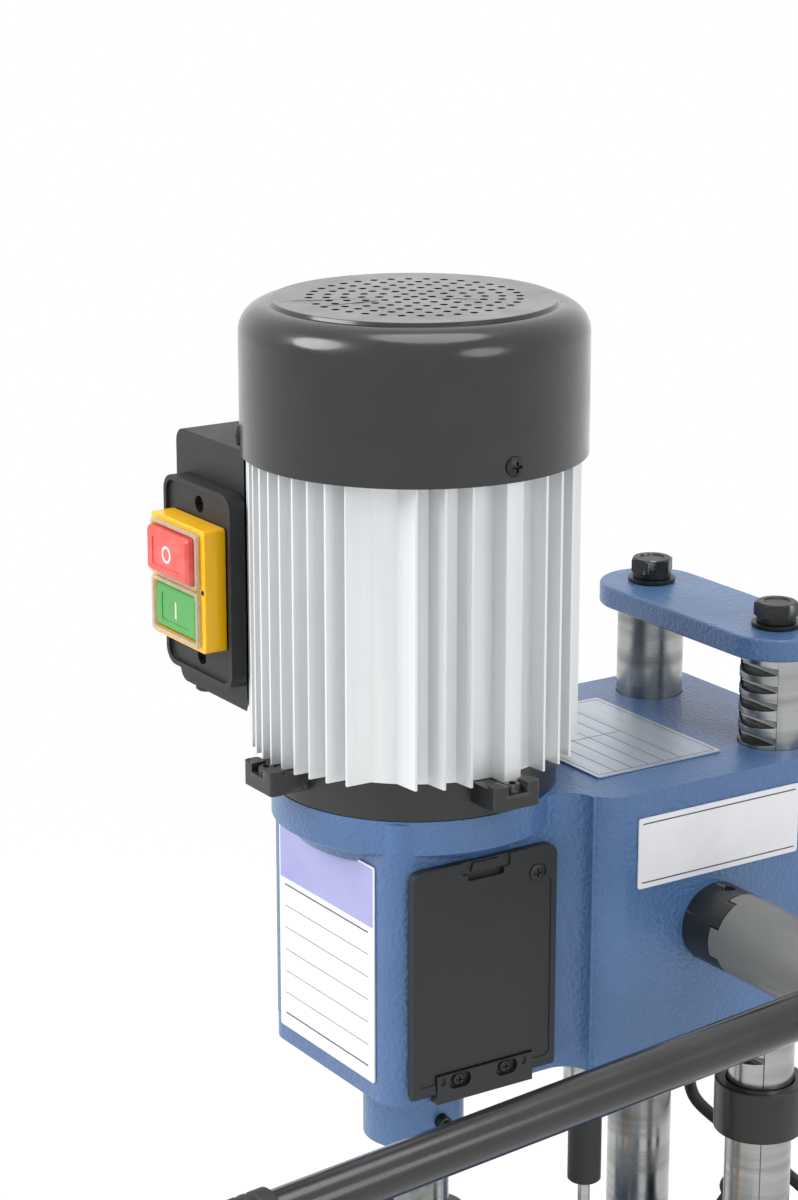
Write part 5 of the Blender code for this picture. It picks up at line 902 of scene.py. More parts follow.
@dataclass
class DepthStop:
    """Clamp collar on the rack column, in millimetres."""

    radius: float = 20.5
    height: float = 24.2
    top: float = 258.5

    def build(self) -> None:
        """Build the collar with its clamping screw."""
        low = self.top - self.height
        collar = Shape.lathe([(15.3, low), (self.radius, low), (self.radius, self.top), (15.3, self.top)], 80)
        collar.soften(0.9, 3)
        middle = low + self.height / 2
        screw = socket_screw(3.0, 5.0).turn("Y", -90).move(-self.radius, 0, middle)
        spot = Shape.rod(4.2, self.radius - 0.5, self.radius + 2, 28).turn("Y", -90).move(0, 0, middle)
        collar.carve(spot)
        stem = Shape.rod(2.9, 18, self.radius + 0.2, 24).turn("Y", -90).move(0, 0, middle)
        collar.gather(screw, stem).move(COLUMN_X, COLUMN_Y)
        collar.dress("stop_collar", "depth_stop", PHOSPHATE, ["depth_collar"])


@dataclass
class Head:
    """Head casting with its plates, covers and hinge strips, in millimetres."""

    rear_half: float = 69.0
    rear_front: float = 48.0
    rear_back: float = 188.0
    front_half: float = 50.0
    front_face: float = -43.0
    corner: float = 12.0
    pad: float = 60.0
    boss: float = 21.85
    boss_low: float = 257.0
    plate: float = 0.6
    hub_y: float = 108.0
    hub_z: float = 353.0

    def front_outline(self) -> list[Point2]:
        """Outline of the front box, filleted into the rear block.

        Returns:
            The outline.
        """
        side, corner = self.front_half, self.corner
        points = arc((side - corner, self.front_face + corner), corner, -90, 0, 10)
        points += arc((side + 12, self.rear_front - 12), 12, 180, 90, 10)
        points += [(side + 12, 70), (-side - 12, 70)]
        points += arc((-side - 12, self.rear_front - 12), 12, 90, 0, 10)
        points += arc((corner - side, self.front_face + corner), corner, 180, 270, 10)
        return points

    def casting(self) -> None:
        """Build the casting: front box, rear block, motor pad and spindle boss, bored and cored."""
        rear = rounded((-self.rear_half, self.rear_half), (self.rear_front, self.rear_back), 14, 10)
        body = Shape.prism(rear, HEAD_BOTTOM, HEAD_TOP)
        box = Shape.prism(self.front_outline(), HEAD_BOTTOM, HEAD_TOP)
        top = HEAD_TOP + 1.2
        low = HEAD_TOP - 13
        pad = Shape.lathe(
            [(0, low - 8), (50.5, low - 8), (51.5, low - 5), (self.pad, low), (self.pad, top), (0, top)],
            120
        )
        boss = Shape.rod(self.boss, self.boss_low, HEAD_BOTTOM + 4, 80)
        flare = arc((self.boss + 3, HEAD_BOTTOM - 3), 3, 90, 180, 4)
        root = Shape.lathe(
            [(0, HEAD_BOTTOM + 2), (self.boss + 3, HEAD_BOTTOM + 2), *flare, (0, HEAD_BOTTOM - 3)],
            80
        )
        body.unite(box, pad, boss, root)
        chamber = Shape.prism(rounded((-42, 42), (-35, 34), 6, 5), 302, 396)
        window = Shape.block((-61, 61), (-29, 29), (308, 392))
        register = Shape.rod(22, 390, 421, 64)
        seat = Shape.rod(9.8, 256, 303, 48)
        guides = [Shape.rod(15.3, 290, 421, 64).move(side * COLUMN_X, COLUMN_Y) for side in (-1, 1)]
        shaft = Shape.rod(9.3, -72, 72, 48).turn("Y", 90).move(0, self.hub_y, self.hub_z)
        tube = Shape.rod(10.3, 290, 380.3, 48).move(20, 78)
        gland = Shape.rod(4.3, 290, 307, 24).move(-30, 180.5)
        screw = Shape.rod(3.3, 9.5, 24, 24).turn("Y", 90).move(0, 0, 269)
        cells = [Shape.block(x, (61.5, 136), (290, 400)) for x in ((33.45, 59.95), (-59.95, -33.45))]
        cells.append(Shape.block((-19, 19), (122, 180), (290, 404)))
        body.carve(chamber, window, register, seat, *guides, shaft, tube, gland, screw, *cells)
        body.soften(1.9, 3, 32)
        body.dress("head_iron", "head", ENAMEL, ["head_casting"])

    def plates(self) -> None:
        """Build the blank front, top and side plates with their printed bands and ruled lines."""
        y = self.front_face - GAP
        sheet = Shape.prism(rounded((-37.5, 37.5), (303, 398), 1.2, 4), 0, self.plate).paint(VINYL)
        marks = [Shape.block((-36.6, 36.6), (371.5, 397.2), (self.plate, self.plate + 0.05)).paint(LILAC)]
        for z in (368.6, 309.5):
            marks.append(
                Shape.block((-33, 33), (z - 0.35, z + 0.35), (self.plate, self.plate + 0.05)).paint(PRINT)
            )
        rule = Shape.block((-33, 33), (-0.15, 0.15), (self.plate, self.plate + 0.05)).paint(PRINT)
        marks.append(row_of(rule, PRINT, 5, (0, 319, 0), (0, 10, 0)))
        front = sheet.gather(*marks).turn("X", 90).move(0, y, 0)
        front.dress("front_sheet", "head", VINYL, ["front_plate"])
        low = HEAD_TOP + GAP
        silver = Shape.prism(rounded((-45, 45), (63, 129), 1.5, 4), low, low + self.plate).paint(ANODISED)
        marks = []
        for x in (-42.6, 42.6):
            marks.append(
                Shape.block((x - 0.2, x + 0.2), (65.4, 126.6), (low + self.plate, low + 0.65)).paint(PRINT)
            )
        for row in (65.4, 74, 82.6, 91.2, 99.8, 108.4, 126.6):
            line = Shape.block((-42.6, 42.6), (row - 0.2, row + 0.2), (low + self.plate, low + 0.65))
            marks.append(line.paint(PRINT))
        marks.append(Shape.block((-0.2, 0.2), (65.4, 108.4), (low + self.plate, low + 0.65)).paint(PRINT))
        silver.gather(*marks).dress("top_sheet", "head", ANODISED, ["rating_plate"])
        side = Shape.prism(rounded((66, 152), (376, 407), 1.2, 4), 0, self.plate).paint(VINYL)
        edge = [
            Shape.block((68, 150), (z - 0.3, z + 0.3), (self.plate, self.plate + 0.05)).paint(PRINT)
            for z in (378.5, 404.5)
        ]
        side.gather(*edge).turn("X", 90).turn("Z", 90).move(self.rear_half + GAP, 0, 0)
        side.dress("side_sheet", "head", VINYL, ["side_plate"])

    def cover(self, side: int, word: str) -> None:
        """Build one hinged cover with its latch tab, slot, rim and pan screw.

        Args:
            side: 1 on the right, -1 on the left.
            word: right or left.
        """
        hinge = 300.8
        high = 398.5
        outline = [(-35.7, hinge), (35.7, hinge)] + arc((30.7, high - 5), 5, 0, 90, 6)
        outline += arc((-30.7, high - 5), 5, 90, 180, 6)
        panel = Shape.prism(outline, 0, 3.7)
        slot = Shape.prism(rounded((-9, 9), (390.2, 393.4), 1.2, 4), 1.6, 5)
        recess = Shape.prism(rounded((-12, 12), (393.0, 400), 1.0, 4), 2.9, 5)
        tab = Shape.prism([(-7.5, 394), (7.5, 394), (6.4, 397.6), (-6.4, 397.6)], 2.5, 3.7)
        spot = Shape.rod(4.6, 3.1, 5, 32).move(25.7, 387)
        field_cut = Shape.prism(rounded((-32.9, 32.9), (303.8, 385), 3, 5), 3.25, 5)
        panel.carve(slot, recess, spot, field_cut).unite(tab)
        notch = Shape.block((-24.3, 24.3), (290, 308), (-1, 5))
        panel.carve(notch).soften(0.5, 2)
        knuckle = Shape.rod(2, 24.3, 35.4, 20).turn("Y", 90).move(0, hinge, 2)
        other = Shape.rod(2, -35.4, -24.3, 20).turn("Y", 90).move(0, hinge, 2)
        screw = pan_screw(3.6, 1.2).move(25.7, 387, 3.1)
        panel.gather(knuckle, other, screw)
        panel.turn("X", 90).turn("Z", 90).move(self.front_half + GAP, 0, 0)
        if side < 0:
            panel = panel.mirror()
        panel.dress(f"cover_panel_{word}", f"cover_{word}", NYLON, [f"chuck_cover_{word}"])

    def strip(self, side: int, word: str) -> None:
        """Build one hinge strip with its two recessed screws.

        Args:
            side: 1 on the right, -1 on the left.
            word: right or left.
        """
        bar = Shape.block((-24, 24), (HEAD_BOTTOM, 307.4), (0, 4.3))
        screws = []
        for y in (-12.6, 10.8):
            bar.carve(Shape.prism(rounded((y - 5.4, y + 5.4), (300.3, 307.0), 3.1, 6), 2.3, 5))
            screws.append(pan_screw(2.9, 1.7).move(y, 303.7, 2.3))
        for y in (-21.2, 19.4):
            bar.carve(Shape.prism(rounded((y - 1.2, y + 1.2), (303, 306.2), 0.6, 3), 3.7, 5))
        bar.soften(0.4, 2).gather(*screws)
        bar.turn("X", 90).turn("Z", 90).move(self.front_half + GAP, 0, 0)
        if side < 0:
            bar = bar.mirror()
        bar.dress(f"strip_bar_{word}", "head", NYLON, [f"hinge_strip_{word}"])

    def build(self) -> None:
        """Build the whole head."""
        self.casting()
        self.plates()
        for side, word in ((1, "right"), (-1, "left")):
            self.cover(side, word)
            self.strip(side, word)
        gland = Shape.lathe([
            (3.0, 253), (4.3, 253), (4.9, 262), (5.6, 272), (6.2, 277.8), (8.5, 277.8), (8.5, 283),
            (8.0, 284),
            (8.5, 285), (8.5, 294.4), (4, 294.4), (4, 306.7), (3.0, 306.7),
        ], 12)
        gland.soften(0.3, 2).move(-30, 180.5)
        gland.dress("lead_gland", "head", RUBBER, ["cord_gland"], 20)


@dataclass
class Motor:
    """Flange, finned body, end shield and cowl of the motor, in millimetres."""

    ring: float = 59.7
    core: float = 60.0
    tip: float = 68.4
    rib: float = 68.9
    low: float = HEAD_TOP + 17.5
    high: float = HEAD_TOP + 142.7
    cowl: float = 71.3
    cowl_low: float = HEAD_TOP + 141.4
    cowl_high: float = HEAD_TOP + 204.0
    shoulder: float = 12.0
    screw_height: float = HEAD_TOP + 147.8

    def flange(self) -> None:
        """Build the cast ring with its four notched lugs and their bolts."""
        low = HEAD_TOP + 1.5
        high = HEAD_TOP + 17.2
        profile = [
            (8.4, low), (self.ring, low), (self.ring, high), (54.7, high), (54.7, low + 7),
            (24, low + 7), (24, high - 1), (17.8, high - 1), (17.8, low + 3), (8.4, low + 3)
        ]
        ring = Shape.lathe(profile, 120)
        low_lug = HEAD_TOP + 8.5
        top_lug = HEAD_TOP + 18.7
        for k in range(4):
            lug = Shape.prism(rounded((55, 76), (-11, 11), 2.2, 4), low_lug, high)
            ear = Shape.prism(rounded((69.2, 76), (-11, 11), 1.6, 4), low_lug, top_lug)
            lug.unite(ear).carve(Shape.block((66.5, 80), (-4.6, 4.6), (top_lug - 4, top_lug + 2)))
            ring.unite(lug.turn("Z", 90 * k))
        ring.soften(0.8, 3)
        bolts = ring_of(socket_screw(3.4, 3.4).turn("Z", 15), BLACK_OXIDE, 4, 71.6, top_lug - 4)
        ring.paint(BLACK_PAINT).gather(bolts).dress("flange_ring", "head", BLACK_PAINT, ["motor_flange"])

    def fin_row(
        self, places: Sequence[float], half_tip: float, half_root: float, reach: float
    ) -> list[Shape]:
        """Build straight fins across the body, tapered to both tips.

        Args:
            places: Distances of the fins from the middle.
            half_tip: Half thickness at the tip.
            half_root: Half thickness at the root.
            reach: Radius of the tips.

        Returns:
            The fins, parallel to X.
        """
        fins = []
        for t in places:
            far = math.sqrt(reach ** 2 - t ** 2)
            root = math.sqrt(self.core ** 2 - t ** 2) - 1
            outline = [
                (-far, t - half_tip), (-root, t - half_root), (root, t - half_root),
                (far, t - half_tip)
            ]
            outline += [
                (far, t + half_tip), (root, t + half_root), (-root, t + half_root),
                (-far, t + half_tip)
            ]
            fins.append(Shape.prism(outline, self.low, self.high))
        return fins

    def body(self) -> None:
        """Build the extruded body: a round core, fins on four sides and a thick rib on two."""
        body = Shape.rod(self.core, self.low, self.high, 120)
        face = self.fin_row((-36, -28, -20, -12, -4, 4, 12, 20, 28, 36), 0.55, 1.25, self.tip)
        side = self.fin_row((-38.5, -28.5, -18, 18, 28.5, 38.5), 0.55, 1.25, self.tip)
        side += self.fin_row((0,), 4, 4, self.rib)
        body.unite(*[fin.turn("Z", 90) for fin in face], *side)
        body.carve(Shape.rod(52, self.low - 1, self.high + 1, 96))
        body.turn("Z", 1.8).soften(0.28, 2, 40)
        body.dress("finned_body", "head", EXTRUDED, ["motor_body"])

    def shield(self) -> None:
        """Build the upper end shield."""
        low = self.high + GAP
        high = low + 9.5
        profile = [
            (8.4, low), (69, low), (69, high), (24, high), (24, high + 6), (17.8, high + 6),
            (17.8, low + 3), (8.4, low + 3)
        ]
        Shape.lathe(profile, 96).soften(0.6, 2).dress("upper_shield", "head", DIE_CAST, ["end_shield"])

    def cowl_cup(self) -> None:
        """Build the deep-drawn cowl with its air holes and screws."""
        bend = self.cowl_high - 1.4
        outside = arc((self.cowl - self.shoulder, bend - self.shoulder), self.shoulder, 0, 86, 12)
        disc = arc((57.6, self.cowl_high - 1.4), 1.4, 60, 90, 3)
        inside = arc((self.cowl - self.shoulder, bend - self.shoulder), self.shoulder - 1.5, 90, 0, 12)
        profile = [
            (self.cowl, self.cowl_low), *outside, (58.9, bend), *disc, (0, self.cowl_high),
            (0, bend - 1.5)
        ]
        profile += [*inside, (self.cowl - 1.5, self.cowl_low)]
        cup = Shape.lathe(profile, 144)
        cutter = Shape.rod(1, bend - 4, self.cowl_high + 1, 10)
        holes = []
        for ring in range(1, 7):
            one = cutter.copy()
            one.obj.data.transform(Matrix.Diagonal((1.75, 1.75, 1, 1)))
            holes.append(ring_of(one, COWL_PAINT, 6 * ring, 7.1 * ring))
        cutter.obj.data.transform(Matrix.Diagonal((1.75, 1.75, 1, 1)))
        cup.carve(cutter, *holes)
        cup.carve(
            *[
                Shape.rod(2.3, 60, 80, 16).turn("Y", 90).move(0, 0, self.screw_height).turn("Z", 120 * k)
                for k in range(3)
            ]
        )
        screw = pan_screw(4.3, 2.2)
        shank = Shape.rod(2.0, -8, 0, 16)
        screw.gather(shank).turn("Y", 90)
        screws = ring_of(screw, BLACK_OXIDE, 3, self.cowl - 0.2, self.screw_height)
        cup.paint(COWL_PAINT).gather(screws)
        cup.dress("fan_cup", "head", COWL_PAINT, ["fan_cowl"], 28)

    def build(self) -> None:
        """Build the whole motor."""
        self.flange()
        self.body()
        self.shield()
        self.cowl_cup()


@dataclass
class Switch:
    """Push-button switch on the motor's left front, in millimetres; built about x = 0."""

    x: float = -61.8
    front: float = -59.7
    face: float = -67.9
    floor: float = -66.3
    lid: float = -77.0
    red_z: float = 512.6
    green_z: float = 487.9
    low: float = HEAD_TOP + 29.6
    high: float = HEAD_TOP + 140.8
    wall: float = 2.2
    back: float = 0.3
    box_half: float = 30.8
    plate_half: float = 28.1
    plate_low: float = HEAD_TOP + 39.6
    plate_high: float = HEAD_TOP + 122.8
    rim: float = 2.3
    screw_inset: float = 8.7
    lid_half: float = 22.5
    lid_low: float = HEAD_TOP + 56.0
    lid_high: float = HEAD_TOP + 108.5
    frame_x: float = 19.6
    frame_z: float = 11.9
    cap_x: float = 17.3
    cap_z: float = 9.6
    pad_x: float = 11.6
    pad_z: float = 5.9

    def motor(self) -> Shape:
        """Give the cylinder that keeps pieces clear of the motor's ribs.

        Returns:
            The shape, placed as the motor stands to the switch.
        """
        return Shape.rod(69.6, self.low - 1, self.high + 1, 96).move(-self.x, 0, 0)

    def slab(self, outline: Sequence[Point2], front: float, back: float) -> Shape:
        """Extrude an (x, z) outline from a front plane back to another plane.

        Args:
            outline: Points seen from the front.
            front: Y of the front plane.
            back: Y of the back plane.

        Returns:
            The shape.
        """
        return Shape.prism(outline, -back, -front).turn("X", 90)

    def stem_holes(self, radius: float, low: float, high: float) -> list[Shape]:
        """Give the cutters for the stems of both buttons.

        Args:
            radius: Radius of the holes.
            low: Start of the cutters before the box's front.
            high: End of the cutters behind the box's front.

        Returns:
            One cutter for each button.
        """
        heights = (self.red_z, self.green_z)
        return [Shape.rod(radius, low, high, 20).turn("X", 90).move(0, self.front, z) for z in heights]

    def enclosure(self) -> None:
        """Build the box against the motor, with its foot below."""
        half, wall = self.box_half, self.wall
        box = self.slab(rounded((-half, half), (self.low, self.high), 6, 8), self.front, self.back)
        inside = rounded((wall - half, half - wall), (self.low + wall, self.high - wall), 4, 6)
        inner = self.slab(inside, self.front + wall, self.back - wall)
        box.carve(inner, self.motor(), *self.stem_holes(4.3, -3, 6)).soften(2.0, 4, 35)
        foot = Shape.lathe([(0, 0), (3.8, 0), (4.7, 0.8), (4.7, 5), (0, 5)], 28)
        box.gather(foot.move(-20, -53, self.low - 3.5))
        box.move(self.x, 0, 0).dress("switch_box", "head", NYLON, ["switch_enclosure"])

    def faceplate(self) -> None:
        """Build the faceplate with its raised rim and its two screws."""
        half, rim = self.plate_half, self.rim
        low, high = self.plate_low, self.plate_high
        plate = self.slab(rounded((-half, half), (low, high), 7.4, 8), self.face, self.front - GAP)
        inside = rounded((rim - half, half - rim), (low + rim, high - rim), 7.4 - rim, 8)
        floor = self.slab(inside, self.face - 1, self.floor)
        heights = (low + self.screw_inset, high - self.screw_inset)
        seat = self.front - 3.5
        spots = [self.slab(arc((0, z), 3.6, 0, 345, 23), self.face - 1, seat) for z in heights]
        plate.carve(floor, self.motor(), *spots, *self.stem_holes(4.7, -2, 12)).soften(0.7, 3)
        screws = [pan_screw(3.0, 1.6).turn("X", 90).move(0, seat, z).paint(BLACK_OXIDE) for z in heights]
        plate.paint(NYLON).gather(*screws)
        plate.move(self.x, 0, 0).dress("switch_plate", "head", NYLON, ["switch_faceplate"])

    def lid_box(self) -> None:
        """Build the yellow cover with its two openings and small side screw."""
        half = self.lid_half
        cover = rounded((-half, half), (self.lid_low, self.lid_high), 2, 5)
        lid = self.slab(cover, self.lid, self.floor - GAP)
        for z in (self.red_z, self.green_z):
            opening = rounded((1.5 - self.frame_x, self.frame_x - 1.5), (z - 10.4, z + 10.4), 1, 3)
            lid.carve(self.slab(opening, self.lid - 1, self.floor + 1))
        lid.soften(0.8, 3)
        middle = (self.red_z + self.green_z) / 2
        rivet = pan_screw(1.1, 0.5).turn("X", 90).move(20.9, self.lid, middle)
        lid.paint(YELLOW).gather(rivet.paint(BLACK_OXIDE))
        lid.move(self.x, 0, 0).dress("yellow_lid", "head", YELLOW, ["switch_cover"])

    def clear_frames(self) -> None:
        """Build the clear frames round both buttons."""
        x, tall = self.frame_x, self.frame_z
        frames = []
        for z in (self.red_z, self.green_z):
            frame = self.slab(rounded((-x, x), (z - tall, z + tall), 1.7, 4), self.lid - 2.3, self.lid - GAP)
            inside = rounded((-17.9, 17.9), (z - 10.2, z + 10.2), 1.2, 4)
            frame.carve(self.slab(inside, self.lid - 4, self.lid + 1))
            frames.append(frame.soften(0.6, 3).paint(CLEAR))
        frames[0].gather(frames[1])
        frames[0].move(self.x, 0, 0).dress("clear_frame", "head", CLEAR, ["button_frames"])

    def button(
        self, name: str, node: str, body: str, z: float, proud: float, finish: Finish, mark: Shape
    ) -> None:
        """Build one button with its tapered front, its stem and a white mark.

        Args:
            name: Name of the piece.
            node: The CAD node that it replaces.
            body: The body that it rides on.
            z: Height of its middle.
            proud: How far its front stands out of the clear frame.
            finish: Its plastic.
            mark: The mark, drawn about zero and standing up along Z.
        """
        front = self.lid - 2 - proud
        back = self.floor - GAP - 3.3
        rings = []
        for y, inset in ((back, 0), (front + 1.4, 0), (front + 0.35, 0.9), (front, 1.6)):
            half, tall = self.cap_x - inset, self.cap_z - inset
            ring = rounded((-half, half), (z - tall, z + tall), 1.2, 4)
            rings.append([(px, y, pz) for px, pz in ring])
        cap = Shape.loft(rings)
        flat = rounded((-self.pad_x, self.pad_x), (z - self.pad_z, z + self.pad_z), 1, 3)
        pad = self.slab(flat, front - 1, front + 0.3)
        cap.carve(pad)
        stem = Shape.rod(4, -1, 4.5, 20).turn("X", -90).move(0, back, z)
        cap.paint(finish).gather(stem.paint(finish))
        cap.gather(mark.paint(WHITE_INK).turn("X", 90).move(0, front + 0.3, z))
        cap.move(self.x, 0, 0).dress(name, body, finish, [node])

    def build(self) -> None:
        """Build the whole switch."""
        self.enclosure()
        self.faceplate()
        self.lid_box()
        self.clear_frames()
        ring = Shape.lathe([(2.6, -0.1), (3.7, -0.1), (3.7, 0.12), (2.6, 0.12)], 32)
        bar = Shape.prism(rounded((-0.6, 0.6), (-3.6, 3.6), 0.3, 3), -0.1, 0.12)
        self.button("red_cap", "stop_button", "stop_key", self.red_z, 3.6, RED, ring)
        self.button("green_cap", "start_button", "start_key", self.green_z, -0.4, GREEN, bar)


@dataclass
class Spindle:
    """Chuck, jaws, auger bit, hollow chisel and fan, in millimetres."""

    chuck_top: float = 388.0
    chuck_low: float = 340.0
    tip: float = 145.7
    boss_low: float = 257.0

    def chuck(self) -> None:
        """Build the chuck body with its toothed ring, and the three jaws."""
        low, top = self.chuck_low, self.chuck_top
        profile = [(9.4, low), (11.0, low), (17, low + 12), (17, 364), (21.5, 364), (21.5, 378), (17, 378)]
        profile += [
            (17, top - 1), (16, top), (7.5, top), (7.5, top - 18), (4.8, top - 18), (4.8, 346.3),
            (9.4, 346.3)
        ]
        body = Shape.lathe(profile, 72).soften(0.4, 2)
        tooth = Shape.prism([(-1.0, 0), (1.0, 0), (0.3, 3.6), (-0.3, 3.6)], 0, 2.2).turn("X", 90)
        teeth = ring_of(tooth.turn("Z", 90), TOOL, 30, 20.9, 360.5)
        body.paint(TOOL).gather(teeth)
        body.dress("chuck_shell", "spindle", TOOL, ["chuck_body"])
        jaws = Shape.lathe([(4.8, 328), (6.6, 328), (8.8, 332), (8.8, 346), (4.8, 346)], 48)
        jaws.carve(*[Shape.block((1.6, 10), (-0.8, 0.8), (327, 343)).turn("Z", 120 * k) for k in range(3)])
        jaws.soften(0.2, 2).dress("chuck_grips", "spindle", TOOL, ["chuck_jaws"])

    def auger(self) -> None:
        """Build the auger bit: a round shank and a twisted flute."""
        rings = []
        for height in (355.0, 262.0):
            rings.append(
                [
                    (4.5 * math.cos(a), 4.5 * math.sin(a), height)
                    for a in [math.tau * k / 24 for k in range(24)]
                ]
            )
        steps = 120
        low = self.tip - 2
        top = self.boss_low
        for step in range(steps + 1):
            height = top + (low - top) * step / steps
            turn = math.tau * (top - height) / 22.0
            ring = []
            for k in range(24):
                angle = math.tau * k / 24
                thin = 0.36 + 0.64 * abs(math.cos(angle)) ** 1.6
                radius = 4.5 * thin if abs(math.cos(angle)) < 0.93 else 4.5
                ring.append((radius * math.cos(angle + turn), radius * math.sin(angle + turn), height))
            rings.append(ring)
        Shape.loft(rings[::-1]).dress("auger_twist", "spindle", TURNED, ["auger_bit"], 50)

    def chisel(self) -> None:
        """Build the hollow chisel with its bevelled mouth and chip slot, and its clamping screw."""
        low = self.boss_low - GAP
        chisel = Shape.rod(9.5, low, low + 42, 48)
        blade = Shape.block((-6.35, 6.35), (-6.35, 6.35), (self.tip, low + 0.3))
        chisel.unite(blade)
        bore = Shape.rod(5.4, self.tip - 1, low + 43, 40)
        cone = Shape.lathe([(0, self.tip + 7.5), (7.5, self.tip - 1.0), (0, self.tip - 1.0)], 40)
        slot = Shape.prism(rounded((-3.4, 3.4), (self.tip + 24, self.tip + 54), 3.3, 8), 0, 8).turn("X", 90)
        chisel.carve(bore, cone, slot).soften(0.15, 1, 35)
        chisel.dress("chisel_steel", "head", TOOL, ["hollow_chisel"])
        screw = Shape.rod(3, 9.8, 25.85, 32)
        screw.carve(Shape.rod(1.75, 23.4, 27, 6)).soften(0.3, 2)
        screw.turn("Y", 90).move(0, 0, 269).dress("chisel_grub", "head", BLACK_OXIDE, ["chisel_screw"])

    def fan(self) -> None:
        """Build the radial fan."""
        low = HEAD_TOP + 168
        hub = Shape.lathe([(7.5, low), (14, low), (14, low + 18), (7.5, low + 18)], 48)
        disc = Shape.lathe([(13, low), (57, low), (57, low + 1.8), (13, low + 1.8)], 72)
        blade = Shape.block((13, 57.9), (-1.2, 1.2), (low, low + 18))
        blades = ring_of(blade, NYLON, 6, 0.001)
        hub.unite(disc).gather(blades).paint(NYLON)
        hub.dress("fan_wheel", "spindle", NYLON, ["cooling_fan"])

    def build(self) -> None:
        """Build everything on and round the spindle."""
        self.chuck()
        self.auger()
        self.chisel()
        self.fan()


@dataclass
class Feed:
    """Dog collar, lever hub, bar and screw of the feed, in millimetres; built along Z, turned to X."""

    y: float = 108.0
    z: float = 353.0
    dog: float = 17.4
    collar_start: float = 69.3
    plane: float = 91.3
    hub_end: float = 201.0
    lever_x: float = 162.0
    lever: float = 9.3
    slope: float = 4.65
    reach: float = 320.0

    def place(self, shape: Shape) -> Shape:
        """Lay a shape built along Z on the feed axis."""
        return shape.turn("Y", 90).move(0, self.y, self.z)

    def wedge(self, low: float, high: float, phase: float) -> list[Shape]:
        """Build the gaps between the clutch's dogs.

        Args:
            low: Their lower plane.
            high: Their upper plane.
            phase: Turn in degrees.

        Returns:
            Four wedges.
        """
        outline = arc((0, 0), 24, phase - 23.5, phase + 23.5, 4)
        outline += arc((0, 0), 4, phase + 23.5, phase - 23.5, 4)
        return [Shape.prism(outline, low, high).turn("Z", 90 * k) for k in range(4)]

    def collar(self) -> None:
        """Build the dog collar with its set screw."""
        start, plane = self.collar_start, self.plane
        collar = Shape.lathe([(9.3, start), (self.dog, start), (self.dog, plane), (9.3, plane)], 80)
        collar.carve(*self.wedge(plane - 5, plane + 1, 0))
        collar.carve(Shape.rod(3.0, 13, 20, 28).turn("Y", -90).move(0, 0, 77.8))
        collar.soften(0.5, 2, 32)
        screw = Shape.rod(2.8, 13, 15.6, 28)
        screw.carve(Shape.rod(1.4, 14.4, 17, 6)).turn("Y", -90).move(0, 0, 77.8)
        collar.gather(screw)
        self.place(collar).dress("dog_ring", "feed_pinion", PHOSPHATE, ["dog_collar"])

    def hub(self) -> None:
        """Build the lever hub with its own dogs, bar seat and recess."""
        near = self.plane - 4.6
        end = self.hub_end
        profile = [
            (9.3, near), (self.dog, near), (self.dog, end - 0.8), (self.dog - 0.8, end),
            (12.5, end), (12.5, 176.6)
        ]
        profile += [(3.3, 176.6), (3.3, 172.6), (9.3, 172.6)]
        hub = Shape.lathe(profile, 96)
        hub.carve(*self.wedge(near - 1, self.plane + 0.4, 45))
        self.place(hub)
        seat = self.aim(Shape.rod(self.lever + GAP, 12.3, 26, 48))
        stud = self.aim(Shape.rod(5.1, 9.0, 12.6, 32))
        hub.carve(seat, stud).soften(0.5, 2, 32)
        hub.dress("lever_socket", "feed_lever", PHOSPHATE, ["lever_hub"])
        screw = Shape.lathe(
            [(0, 160), (3, 160), (3, 194), (8.5, 194), (8.5, 197.4), (7.9, 198), (0, 198)], 40
        )
        screw.carve(Shape.rod(3.2, 195.6, 199, 6)).soften(0.2, 2, 35)
        self.place(screw).dress("hub_bolt", "feed_pinion", BLACK_OXIDE, ["hub_screw"])

    def aim(self, shape: Shape) -> Shape:
        """Lay a shape built along Z on the lever's axis."""
        return shape.turn("X", 90 + self.slope).move(self.lever_x, self.y, self.z)

    def bar(self) -> None:
        """Build the lever bar and its rubber grip."""
        profile = [
            (0, 9.3), (4.8, 9.3), (4.8, 12.6), (8.8, 12.6), (self.lever, 13.1), (self.lever, 317.6),
            (8.8, 318.1), (0, 318.1)
        ]
        self.aim(Shape.lathe(profile, 72)).dress("lever_rod", "feed_lever", LEVER_PAINT, ["lever_bar"])
        inner, outer = self.lever + GAP, self.lever + 1.9
        end = self.reach
        outside = [(outer - 0.5, 275), (outer, 275.6)]
        for k in range(8):
            start = 281 + 4 * k
            outside += [
                (outer, start), (outer - 0.6, start + 0.7), (outer - 0.6, start + 1.6),
                (outer, start + 2.3)
            ]
        outside += [(outer, end - 3), (outer - 0.9, end - 0.9), (outer - 3, end), (0, end)]
        grip = Shape.lathe([(inner, 275), *outside, (0, end - 1.6), (inner, end - 1.6)], 64)
        self.aim(grip).dress("lever_sleeve", "feed_lever", RUBBER, ["lever_end_cap"], 25)

    def build(self) -> None:
        """Build the whole feed."""
        self.collar()
        self.hub()
        self.bar()


